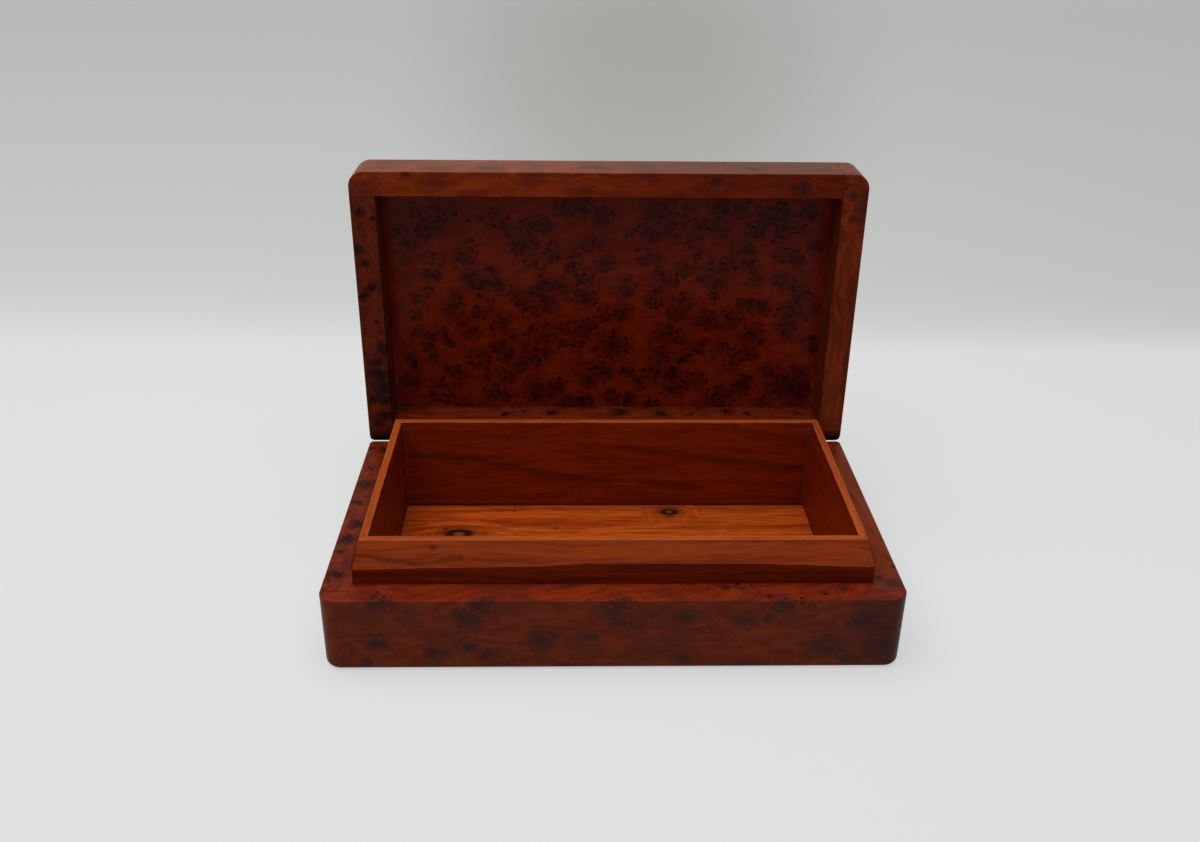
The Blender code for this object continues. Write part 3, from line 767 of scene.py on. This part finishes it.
PANEL_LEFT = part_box("lid_left_rail")[1][0]
PANEL_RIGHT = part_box("lid_right_rail")[0][0]
PANEL_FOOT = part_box("lid_back_rail")[1][2]
low_rail_marks = thrown(LOW_RAIL_CLUSTERS, 2, PANEL_FOOT, 1.0, 1.25)
panel_marks = thrown(PANEL_CLUSTERS, 1, PANEL_FACE, 0.85, 1.22)
panel_specks = thrown(((428, 383, 0.5), (690, 407, 0.5), (560, 408, 0.4)), 1, PANEL_FACE)
panel_glue = (
    (0, PANEL_LEFT + 0.5 * MM, 2, PANEL_FOOT, PANEL_FOOT + 46 * MM, 1.2 * MM),
    (0, PANEL_RIGHT - 0.6 * MM, 2, PANEL_FOOT, PANEL_FOOT + 16 * MM, 1.0 * MM),
    (2, PANEL_FOOT + 0.4 * MM, 0, PANEL_LEFT, PANEL_RIGHT, 1.0 * MM),
)
print("marks on the front:", len(front_marks), "and on the panel:", len(panel_marks))

# %% The base's burls
SOOTY = {"smoke": SOOT, "fleck": DOT, "torn": 1.5}
burls = {
    "base_front_wall": burl(
        "front_wall_burl", ALONG_X, front_marks, WALL_WOOD, tilt=FRONT_TILT, figured=0.17,
        change=(DUSK_WOOD, 0, 0.090, 0.122, 0.1), smoke_share=0.84, core=0.55,
        dot_share=0.75, pits=front_pits, sheen_share=0.10,
    ),
    "base_back_wall": burl("back_wall_burl", ALONG_X, side_marks, WALL_WOOD, scatter=0.5),
    "base_left_wall": burl(
        "left_wall_burl", ALONG_Y, side_marks, SIDE_WOOD, smoke_share=0.95, least_depth=0.75,
        core=0.8, scatter=0.45, seen=(2, RIM), laps=side_lap, **SOOTY,
    ),
    "base_right_wall": burl(
        "right_wall_burl", ALONG_Y, right_marks, PLAIN_WOOD, bruised=0.25, scatter=0.35,
        seen=(2, RIM), laps=side_lap,
    ),
}
print("burls of the base:", len(burls))

# %% The lid's burls
burls |= {
    "lid_front_rail": burl(
        "front_rail_burl", ALONG_X, rail_marks, PALE_WOOD, change=(RED_WOOD, 0, -0.06, 0.07, 1.0),
        sheen_share=0.30,
    ),
    "lid_back_rail": burl(
        "back_rail_burl", ALONG_X, low_rail_marks, LEDGE_WOOD, least_depth=0.7, core=0.6,
        scatter=0.4, seen=(2, PANEL_FOOT), darker_ends=lid_lower_end, **SOOTY,
    ),
    "lid_left_rail": burl(
        "left_rail_burl", ALONG_Z, rail_marks, RAIL_WOOD, smoke_share=0.95, least_depth=0.8,
        core=0.7, scatter=0.3, seen=(1, LID_RIM), darker_ends=lid_lower_end, inner_shade=0.2, **SOOTY,
    ),
    "lid_right_rail": burl(
        "right_rail_burl", ALONG_Z, right_rail_marks, DULL_WOOD, bruised=0.3, smoke_share=0.65,
        core=0.2, scatter=0.3, seen=(1, LID_RIM), darker_ends=lid_lower_end, pits=rail_pits,
        specks=rail_specks, inner_shade=0.35, sheen_share=0.24,
    ),
    "lid_panel": burl(
        "panel_burl", PANEL_GRAIN, panel_marks, PANEL_WOOD, PANEL_PLUM, figured=0.24,
        smoke=SMUDGE, smoke_share=0.86, core=0.0, ring_share=0.0, fleck=DOT, dot_share=0.88,
        dot_cell=2.4 * MM, dot_reach=0.56, scatter=0.75, spacing=14 * MM,
        seen=(1, PANEL_FACE), specks=panel_specks, glue=panel_glue, roughness=0.20,
        specular=0.065,
    ),
}
print("burl finishes:", len(burls))

# %% [markdown]
# ## The plain woods
#
# The tray and its floor come from the clear part of the same tree: fine straight grain, a dark
# streak here and there, and two small knots in the floor, each a dark ring round a pale heart. The
# tray's slope and tops were planed after the wood had darkened, so they are paler than its upright
# faces. The narrow tops and the rounded arrises are paler still, partly sanded bare and partly a
# painted highlight where they catch the light. The grain could be growth rings cut by the board,
# but boards this clear show only straight grain, so noise drawn out along the board does as well.
# The marks are noted in the photo.

# %% Colours of the plain woods, and their marks by pixel
TRAY_WOOD = ((0.140, 0.0102, 0.0007), (0.270, 0.0270, 0.0017))
FOOT_WOOD = ((0.095, 0.0070, 0.0006), (0.175, 0.0175, 0.0015))
PLANED_WOOD = ((0.235, 0.0320, 0.0045), (0.390, 0.0560, 0.0085))
TOP_WOOD_AND_HIGHLIGHT = ((0.300, 0.0440, 0.0045), (0.460, 0.0800, 0.0085))
FLOOR_WOOD = ((0.245, 0.0270, 0.0024), (0.530, 0.0880, 0.0085))
STREAK = (0.050, 0.0085, 0.0022)
KNOT_RIM = (0.012, 0.0040, 0.0025)
KNOT_HEART = (0.170, 0.0640, 0.0300)
CORNER_SHADE = (0.0100, 0.0040, 0.0030)
RUBBED_AND_HIGHLIGHT = (0.430, 0.120, 0.050)
FLOOR_KNOTS = ((459, 534, 6.8), (669, 512, 4.4))
FLOOR_FLECKS = ((446, 529, 2.2), (514, 511, 2.0), (556, 528, 2.0))
SLOPE_KNOTS = ((433, 548, 2.4),)
REAR_KNOTS = ((735, 426, 2.6),)
SLOPE_STREAKS = (((350, 556), (392, 560)), ((392, 560), (428, 563)), ((428, 563), (462, 559)))
REAR_STREAKS = (
    ((405, 455), (470, 459)), ((470, 459), (512, 467)), ((512, 467), (560, 475)),
    ((560, 475), (610, 482)), ((622, 449), (690, 455)), ((690, 455), (735, 461)),
    ((735, 461), (800, 470)), ((640, 482), (700, 488)),
)
print("knots in the floor:", len(FLOOR_KNOTS))

# %% The plain recipe
BAND_SIZE = 3.0 * MM
THREAD_SIZE = 0.5 * MM
LINE_SIZE = 1.8 * MM
PLAIN_ROUGHNESS = 0.42
PLAIN_SPECULAR = 0.07


def streak_away(finish, place, start, end, width):
    """Distance to a straight run between two places, in widths."""
    run = end - start
    from_start = place - tuple(start)
    share = finish.node(
        "ShaderNodeVectorMath", {"operation": "DOT_PRODUCT"},
        {0: from_start, 1: tuple(run / run.length_squared)}, out="Value",
    )
    share = share.most(0.0).least(1.0)
    return finish.length(from_start - share * tuple(run)) * (1.0 / width)


def plain_wood(name, grain, ground, knots=(), flecks=(), streaks=(), streak_width=2.8 * MM,
               shaded_corners=(), glue=(), calm=0.0, wander=6 * MM):
    """A straight-grained finish with knots, whose grain parts round them.

    Shaded corners get painted shade: an axis, where the shade starts and where it is full. A calm
    wood has less contrast, and wander is how far its grain leaves the straight.
    """
    finish = Finish(name, PLAIN_ROUGHNESS, PLAIN_SPECULAR)
    place = finish.place
    slow = finish.drift(60 * MM, wander)
    flow = 0.0
    if knots:
        knot_away = nearest(finish, finish.drift(6 * MM, 1.2 * MM), knots)
        flow = knot_away.least(4.0) * (1.6 * MM)
    bent = slow * grain + flow
    bands = finish.cloud(bent, BAND_SIZE, detail=3.0, roughness=0.6)
    fibres = finish.cloud(bent, THREAD_SIZE, detail=3.0, roughness=0.65)
    tone = finish.step(bands * 0.55 + fibres * 0.45, 0.38 - calm, 0.62 + calm)
    lines = finish.step(finish.cloud(bent, LINE_SIZE), 0.57, 0.68)
    # The narrow tops are paler still, partly as a painted highlight.
    colour = finish.coats(
        finish.mix(*ground, tone),
        (finish.mix(*PLANED_WOOD, tone), finish.painted("planed")),
        (finish.mix(*TOP_WOOD_AND_HIGHLIGHT, tone), finish.painted("topped")),
        (STREAK, lines * (0.30 - 2.0 * calm)),
    )

    if streaks:
        waving = finish.drift(18 * MM, 5 * MM)
        away = NOWHERE
        for start, end in streaks:
            away = streak_away(finish, waving, start, end, streak_width).least(away)
        away = away + (finish.cloud(place * grain, 1.6 * MM, detail=3.0) - 0.5) * 1.4
        colour = finish.mix(colour, STREAK, finish.step(away, 1.3, 0.0) * 0.55)
    if knots:
        colour = finish.coats(
            colour, (STREAK, finish.step(knot_away, 2.6, 0.7) * 0.75),
            (KNOT_RIM, finish.step(knot_away, 1.25, 0.75) * 0.95),
            (KNOT_HEART, finish.step(knot_away, 0.56, 0.24) * 0.75),
        )
    if flecks:
        fleck_away = nearest(finish, place, flecks)
        colour = finish.mix(colour, STREAK, finish.step(fleck_away, 1.1, 0.2) * 0.75)

    # Painted shade in the corners and creases where boards meet the floor.
    for axis, start, full in shaded_corners:
        corner_shade_share = finish.step(finish.part(place, axis), start, full)
        colour = finish.mix(colour, CORNER_SHADE, corner_shade_share * 0.9)
    colour = glued(finish, colour, glue)
    # The eased arrises are paler, partly sanded bare and partly a painted highlight.
    rubbed = finish.step(finish.cloud(place, 9.0 * MM, detail=3.0), 0.30, 0.60)
    worn = finish.painted("worn")
    colour = finish.mix(colour, RUBBED_AND_HIGHLIGHT, worn * (0.25 + rubbed * 0.45))
    finish.link("Base Color", colour)
    finish.link("Roughness", PLAIN_ROUGHNESS + (fibres - 0.5) * 0.12 + worn * 0.3)
    finish.bump(fibres, PORE_DEPTH)
    return finish.material


print("the plain recipe is ready")


# %% Where the marks lie on the boards
def run_of(pairs, axis, level):
    """Streaks noted in the photo, thrown onto a plane."""
    return [tuple(from_photo(pixel, axis, level) for pixel in pair) for pair in pairs]


TRAY_GRAIN_X = (0.035, 1.0, 1.0)
TRAY_GRAIN_Y = (1.0, 0.035, 1.0)
SLOPE_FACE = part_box("tray_front_board")[0][1]
TRAY_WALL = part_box("tray_front_board")[1][1] - SLOPE_FACE
REAR_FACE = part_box("tray_back_board")[0][1]
LEFT_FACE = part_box("tray_left_board")[0][0] + TRAY_WALL
RIGHT_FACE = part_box("tray_right_board")[1][0] - TRAY_WALL
floor_knots = thrown(FLOOR_KNOTS, 2, TRAY_FLOOR, 0.62)
floor_flecks = thrown(FLOOR_FLECKS, 2, TRAY_FLOOR, 0.6)
# Painted shade along the floor's edges at the tray's walls, and at the walls' foot.
floor_corner_shade = (
    (1, REAR_FACE - 1.6 * MM, REAR_FACE - 0.5 * MM),
    (0, LEFT_FACE + 0.9 * MM, LEFT_FACE), (0, RIGHT_FACE - 0.9 * MM, RIGHT_FACE),
)
foot_corner_shade = ((2, TRAY_FLOOR + 0.8 * MM, TRAY_FLOOR + 0.2 * MM),)
corner_glue = (
    (0, LEFT_FACE + 1.0 * MM, 2, TRAY_FLOOR, TRAY_TOP, 2.6 * MM),
    (0, RIGHT_FACE - 0.7 * MM, 2, TRAY_FLOOR, TRAY_TOP, 0.4 * MM),
)
slope_flecks = thrown(SLOPE_KNOTS, 1, SLOPE_FACE + 2.2 * MM, 0.7)
slope_streaks = run_of(SLOPE_STREAKS, 1, SLOPE_FACE + 1.0 * MM)
rear_flecks = thrown(REAR_KNOTS, 1, REAR_FACE, 0.4)
rear_streaks = run_of(REAR_STREAKS, 1, REAR_FACE)
print("the tray's width inside, in mm:", in_mm((RIGHT_FACE - LEFT_FACE,)))

# %% Tray and floor
tray_woods = {
    "tray_front_board": plain_wood(
        "tray_front_wood", TRAY_GRAIN_X, FOOT_WOOD, flecks=slope_flecks, streaks=slope_streaks,
        streak_width=1.3 * MM,
    ),
    "tray_back_board": plain_wood(
        "tray_back_wood", TRAY_GRAIN_X, TRAY_WOOD, flecks=rear_flecks, streaks=rear_streaks,
        shaded_corners=foot_corner_shade, glue=corner_glue, calm=0.08, wander=14 * MM,
    ),
}
for side in ("left", "right"):
    tray_woods[f"tray_{side}_board"] = plain_wood(
        f"tray_{side}_wood", TRAY_GRAIN_Y, TRAY_WOOD, shaded_corners=foot_corner_shade, calm=0.06
    )
floor_wood = plain_wood(
    "floor_wood", TRAY_GRAIN_X, FLOOR_WOOD, floor_knots, floor_flecks, shaded_corners=floor_corner_shade
)
print("plain woods:", len(tray_woods) + 1)

# %% [markdown]
# ## Brass
#
# The photo hides the hinges, and boxes of this kind have small ones of rolled brass: dulled by
# handling, brown in patches, with fine rolling lines. Metal is made by the Metallic socket, and its
# colour is then the colour of what it reflects. The hinges keep their solids, which already have
# the knuckles, pins and countersunk heads, so they take only the finish.

# %% Brass
BRASS_BRIGHT = (0.62, 0.40, 0.14)
BRASS_DULL = (0.30, 0.17, 0.06)


def make_brass():
    """Rolled brass."""
    brass = Finish("hinge_brass", 0.34, 0.5, metallic=1.0)
    darkening = brass.cloud(brass.place, 3.0 * MM, detail=3.0)
    lines = brass.cloud(brass.place * (0.04, 1.0, 1.0), 0.25 * MM)
    brass.link("Base Color", brass.mix(BRASS_BRIGHT, BRASS_DULL, brass.step(darkening, 0.45, 0.70)))
    brass.link("Roughness", 0.26 + darkening * 0.22 + (lines - 0.5) * 0.10)
    brass.bump(lines, 0.01 * MM)
    return brass.material


hinge_brass = make_brass()
for node, item in frame["nodes"].items():
    if "hinge" in node or "screw" in node:
        for place in range(len(item.material_slots)):
            item.material_slots[place].material = hinge_brass
print("brass is on the hinges and their screws")

# %% [markdown]
# ## Easing the edges
#
# The solids have knife edges and a hair of air in every joint, which no real box has. So each piece
# is copied, its glued faces are moved together until only a thin line is left, and every free sharp
# edge gets a narrow bevel. The copy stands for the solid, which stays in the model for the physics.

# %% A new piece in place of a node
CREASE = math.radians(40.0)
LEVEL_WEIGHT = 80
bodies = {}
for body, members in frame["record"]["behaviour"]["bodies"].items():
    bodies.update(dict.fromkeys(members, body))


def bring_in(name, mesh, node, finish):
    """Puts a new piece in the scene in place of a node, on the node's own body."""
    piece = bpy.data.objects.new(name, mesh)
    bpy.context.scene.collection.objects.link(piece)
    piece.data.materials.clear()
    piece.data.materials.append(finish)
    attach(piece, bodies[node])
    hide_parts(node)
    return piece


def level_shading(piece):
    """Lets the large flat faces decide how their edges are shaded, so that they look flat."""
    piece.data.shade_smooth()
    piece.data.set_sharp_from_angle(angle=CREASE)
    weighted = piece.modifiers.new("level_shading", "WEIGHTED_NORMAL")
    weighted.keep_sharp = True
    weighted.weight = LEVEL_WEIGHT


# %% The glued joints, by axis and side of each node
SEAM = 0.3 * MM
GLUE_LINE = 0.03 * MM
CLOSED_ENDS = {
    "base_left_wall": ((1, -1), (1, 1)),
    "base_right_wall": ((1, -1), (1, 1)),
    "lid_front_rail": ((0, 1),),
    "lid_right_rail": ((2, -1),),
    "lid_back_rail": ((0, -1),),
    "lid_left_rail": ((2, 1),),
    "lid_panel": ((0, -1), (0, 1), (2, -1), (2, 1), (1, -1)),
}


def glued_planes(node):
    """The planes of a node's glued faces, each with how far they move to close the joint."""
    low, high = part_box(node)
    planes = []
    for axis, side in CLOSED_ENDS.get(node, ()):
        at = high[axis] if side > 0 else low[axis]
        planes.append((axis, at, at + side * (SEAM - GLUE_LINE)))
    if node in ("base_front_wall", "base_back_wall"):
        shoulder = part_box("tray_right_board")[1][0]
        planes += [(0, side * shoulder, side * (shoulder + SEAM - GLUE_LINE)) for side in (-1, 1)]
        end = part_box("base_left_wall")
        lap = end[0][1] - SEAM if node == "base_front_wall" else end[1][1] + SEAM
        planes.append((1, lap, lap))
    return planes


print("nodes with joints that close:", len(CLOSED_ENDS) + 2)

# %% [markdown]
# ## The lid's chamfer
#
# The lid's lower back edge is cut off at a slant, so that the lid can stand up. The cut faces down,
# where little light reaches it, and it is given painted shade, darker towards the lid's end. It
# could be a dark patch in the rails' own finish, but that finish shines a little everywhere, so the
# cut has a second material with no shine at all.

# %% The chamfer's painted shade
CHAMFER_SHADE_DARK = (0.009, 0.0040, 0.0030)
CHAMFER_SHADE_PALE = (0.050, 0.0130, 0.0065)
CHAMFER_SLANT = -0.3


def make_chamfer_shade():
    """The lid's chamfer: painted shade, darker towards the lid's end, with no shine."""
    darkening = Finish("shaded_chamfer", 0.9, 0.0)
    grain = darkening.cloud(darkening.place * ALONG_X, 1.0 * MM, detail=3.0)
    up = darkening.part(darkening.place, 2) + (grain - 0.5) * (2.0 * MM)
    shaded = darkening.step(up, LID_END + 4.5 * MM, LID_END + 0.8 * MM)
    darkening.link("Base Color", darkening.mix(CHAMFER_SHADE_PALE, CHAMFER_SHADE_DARK, shaded))
    darkening.bump(grain, 0.03 * MM)
    return darkening.material


# The chamfer's finish is painted shade.
chamfer_shade = make_chamfer_shade()


def shade_chamfer(piece):
    """Gives the painted shade to a rail's slanted faces."""
    piece.data.materials.append(chamfer_shade)
    for polygon in piece.data.polygons:
        if max(polygon.normal.y, polygon.normal.z) < CHAMFER_SLANT:
            polygon.material_index = 1


print("the chamfer's stain is ready")

# %% [markdown]
# ## Easing a piece
#
# The edges could be shaded as round by a Bevel node, but that would not be in the mesh, so bmesh
# bevels them. On the way each face notes whether it lies on the outside, within or on the rim, and
# whether it belongs to an eased edge. The finish reads these notes by name.

# %% The eased pieces
TOUCH = 0.004 * MM
SAME_POINT = 0.002 * MM
EASE = 0.30 * MM
EASE_STEPS = 3
FACET = math.radians(1.0)
SHARP = math.radians(28.0)


def note(face, layer, value):
    """Writes a number on a face, for its finish to read."""
    for loop in face.loops:
        loop[layer] = value


def outward(node, face):
    """1 for a face on the polished outside, -1 for one within and 0 for one on the rim."""
    if bodies[node] == "lid":
        core, rim_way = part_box("lid_panel"), Vector((0.0, -1.0, 0.0))
    else:
        core, rim_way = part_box("base_bottom_board"), Vector((0.0, 0.0, 1.0))
    middle = (Vector(core[0]) + Vector(core[1])) / 2
    if face.normal.dot(rim_way) > 0.5:
        return 0
    return 1 if face.normal.dot(face.calc_center_median() - middle) > 0 else -1


def ease(node, finish):
    """A copy of a node with its joints closed and its free sharp edges eased."""
    mesh = frame["nodes"][node].data.copy()
    bm = bmesh.new()
    bm.from_mesh(mesh)
    bmesh.ops.remove_doubles(bm, verts=bm.verts, dist=SAME_POINT)
    glued = set()
    for axis, at, goal in glued_planes(node):
        for vert in bm.verts:
            if abs(vert.co[axis] - at) < TOUCH:
                vert.co[axis] = goal
                glued.add(vert)
    bmesh.ops.dissolve_limit(bm, angle_limit=FACET, verts=bm.verts, edges=bm.edges)
    sharp = [
        e for e in bm.edges
        if e.is_manifold and e.calc_face_angle() > SHARP and not glued.issuperset(e.verts)
    ]
    bevel = bmesh.ops.bevel(
        bm, geom=sharp, offset=EASE, segments=EASE_STEPS, profile=0.5, affect="EDGES",
        clamp_overlap=False, harden_normals=False,
    )
    worn, outer, inner = (bm.loops.layers.float.new(name) for name in ("worn", "outer", "inner"))
    for face in bevel["faces"]:
        note(face, worn, 1.0)
    bm.normal_update()
    for face in bm.faces:
        side = outward(node, face)
        note(face, outer, max(side, 0))
        note(face, inner, max(-side, 0))
    bm.to_mesh(mesh)
    bm.free()
    piece = bring_in(node + "_eased", mesh, node, finish)
    if node in ("lid_back_rail", "lid_left_rail"):
        shade_chamfer(piece)
    level_shading(piece)


for node, finish in burls.items():
    ease(node, finish)
ease("base_bottom_board", floor_wood)
print("eased pieces:", len(burls) + 1)

# %% [markdown]
# ## The tray's planed boards
#
# The tray's upper edges were planed by hand: where the slope meets the upright foot, the line
# wanders by a millimetre or two. A bevel can't wander, so these boards are built anew, as a section
# drawn at many stations from mitre to mitre. The front board's line follows heights noted in the
# photo, and the other boards wander by noise. Wood is only ever taken away, so the lid still
# swings past.

# %% A section with softened corners
BREAK_LINE = (
    (352, 570), (440, 568), (527, 567), (592, 564), (646, 564), (754, 564), (790, 565), (871, 567),
)
STATIONS = 150
ARC_STEPS = 4
TOP_ROUND = 0.45 * MM
EDGE_ROUND = 0.35 * MM
BREAK_ROUND = 0.9 * MM
WANDER = 1.4 * MM
INNER_ARC = 2
TOP_FLAT = INNER_ARC + ARC_STEPS
SLOPE = TOP_FLAT + 1 + ARC_STEPS
PLANED_STRIPS = range(TOP_FLAT, SLOPE + 2)
TOP_STRIPS = (TOP_FLAT,)
ARRIS_STRIPS = (*range(INNER_ARC, TOP_FLAT), *range(TOP_FLAT + 1, SLOPE))
MITRE_CLOSING = (SEAM - GLUE_LINE) / math.sqrt(2.0)


def softened(before, corner, after, radius):
    """The points of a rounded corner between two straight runs of an outline."""
    to_before = (before - corner).normalized()
    to_after = (after - corner).normalized()
    half = to_before.angle(to_after) / 2
    reach = radius / math.tan(half)
    middle = corner + (to_before + to_after).normalized() * (radius / math.sin(half))
    start, end = corner + to_before * reach - middle, corner + to_after * reach - middle
    turn = start.angle_signed(end)
    points = []
    for step in range(ARC_STEPS + 1):
        angle = -turn * step / ARC_STEPS
        points.append(middle + Matrix.Rotation(angle, 2) @ start)
    return points


def station_section(foot, top, thickness, planed, line):
    """A board's section as inset and height, from the foot up the inside and down the outside."""
    corners = [
        (Vector((0.0, foot)), 0.0), (Vector((thickness, foot)), 0.0),
        (Vector((thickness, top)), EDGE_ROUND), (Vector((planed, top)), TOP_ROUND),
        (Vector((0.0, line)), BREAK_ROUND),
    ]
    points = []
    for index, (corner, radius) in enumerate(corners):
        if radius == 0.0:
            points.append(corner)
            continue
        before, after = corners[index - 1][0], corners[(index + 1) % len(corners)][0]
        points += softened(before, corner, after, radius)
    return points


print("the slope is strip", SLOPE, "of a board's section")


# %% A board from many sections
def planed_board(node, axis, outer, finish, line_at):
    """A mitred board whose planed edge wanders. Outer is -1 or 1, the side that faces out."""
    low, high = (Vector(corner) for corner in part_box(node))
    along, across = axis, 1 - axis
    face = high[across] if outer > 0 else low[across]
    tops = [v.co for v in frame["nodes"][node].data.vertices if v.co.z > high.z - TOUCH]
    insets = sorted(abs(co[across] - face) for co in tops)
    planed, thickness = insets[0], insets[-1]
    middle = (low[along] + high[along]) / 2
    half = (high[along] - low[along]) / 2 + MITRE_CLOSING
    bm = bmesh.new()
    rings = []
    for index in range(STATIONS + 1):
        share = 2.0 * index / STATIONS - 1.0
        line = line_at(middle + share * half)
        ring = []
        for inset, height in station_section(low.z, high.z, thickness, planed, line):
            co = Vector((0.0, 0.0, height))
            co[along] = middle + share * (half - inset)
            co[across] = face - outer * inset
            ring.append(bm.verts.new(co))
        rings.append(ring)
    count = len(rings[0])
    faces = []
    for near, far in zip(rings, rings[1:]):
        for index in range(count):
            after = (index + 1) % count
            faces.append(bm.faces.new((near[index], near[after], far[after], far[index])))
    ends = [bm.faces.new(rings[0]), bm.faces.new(rings[-1])]
    bmesh.ops.recalc_face_normals(bm, faces=bm.faces)
    layers = [bm.loops.layers.float.new(name) for name in ("planed", "topped", "worn")]
    for index, strip in enumerate(faces):
        for layer, noted in zip(layers, (PLANED_STRIPS, TOP_STRIPS, ARRIS_STRIPS)):
            note(strip, layer, 1.0 if index % count in noted else 0.0)
    mesh = bpy.data.meshes.new(node + "_planed")
    bm.to_mesh(mesh)
    bm.free()
    level_shading(bring_in(node + "_planed", mesh, node, finish))


print("a board is built from", STATIONS + 1, "sections")

# %% The four boards
RIPPLE = (7 * MM, 0.25 * MM)
WANDER_LENGTH = 45 * MM


def front_line(x):
    """The height of the front board's break, from the photo."""
    noted = [from_photo(pixel, 1, SLOPE_FACE) for pixel in BREAK_LINE]
    for left, right in zip(noted, noted[1:]):
        if x <= right.x or right is noted[-1]:
            share = min(max((x - left.x) / (right.x - left.x), 0.0), 1.0)
            share = share * share * (3.0 - 2.0 * share)
            ripple = noise.noise(Vector((x / RIPPLE[0], 0.0, 0.0))) * RIPPLE[1]
            return min(left.z + (right.z - left.z) * share + ripple, BREAK_TOP)
    return BREAK_TOP


def wandering_line(seed):
    """A break that only noise moves, for a board whose slope the photo hides."""
    def line(at):
        return BREAK_TOP - WANDER * abs(noise.noise(Vector((at / WANDER_LENGTH, seed, 0.0))))
    return line


BREAK_TOP = max(
    v.co.z for v in frame["nodes"]["tray_front_board"].data.vertices if v.co.y < SLOPE_FACE + TOUCH
)
boards = {
    "tray_front_board": (0, -1, front_line),
    "tray_back_board": (0, 1, wandering_line(2.0)),
    "tray_left_board": (1, -1, wandering_line(5.0)),
    "tray_right_board": (1, 1, wandering_line(9.0)),
}
for node, (axis, outer, line) in boards.items():
    planed_board(node, axis, outer, tray_woods[node], line)
print("planed boards:", len(boards), "with the break, in mm, at most at", in_mm((BREAK_TOP,)))

# %% [markdown]
# ## Measuring
#
# The dressed model has to keep the size of the solids, so its box is printed, as the model's box
# was at the start.

# %% The sizes, before and after
seen_box = [list(corner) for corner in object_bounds()]
print("the dressed box, in mm:", *map(in_mm, seen_box))
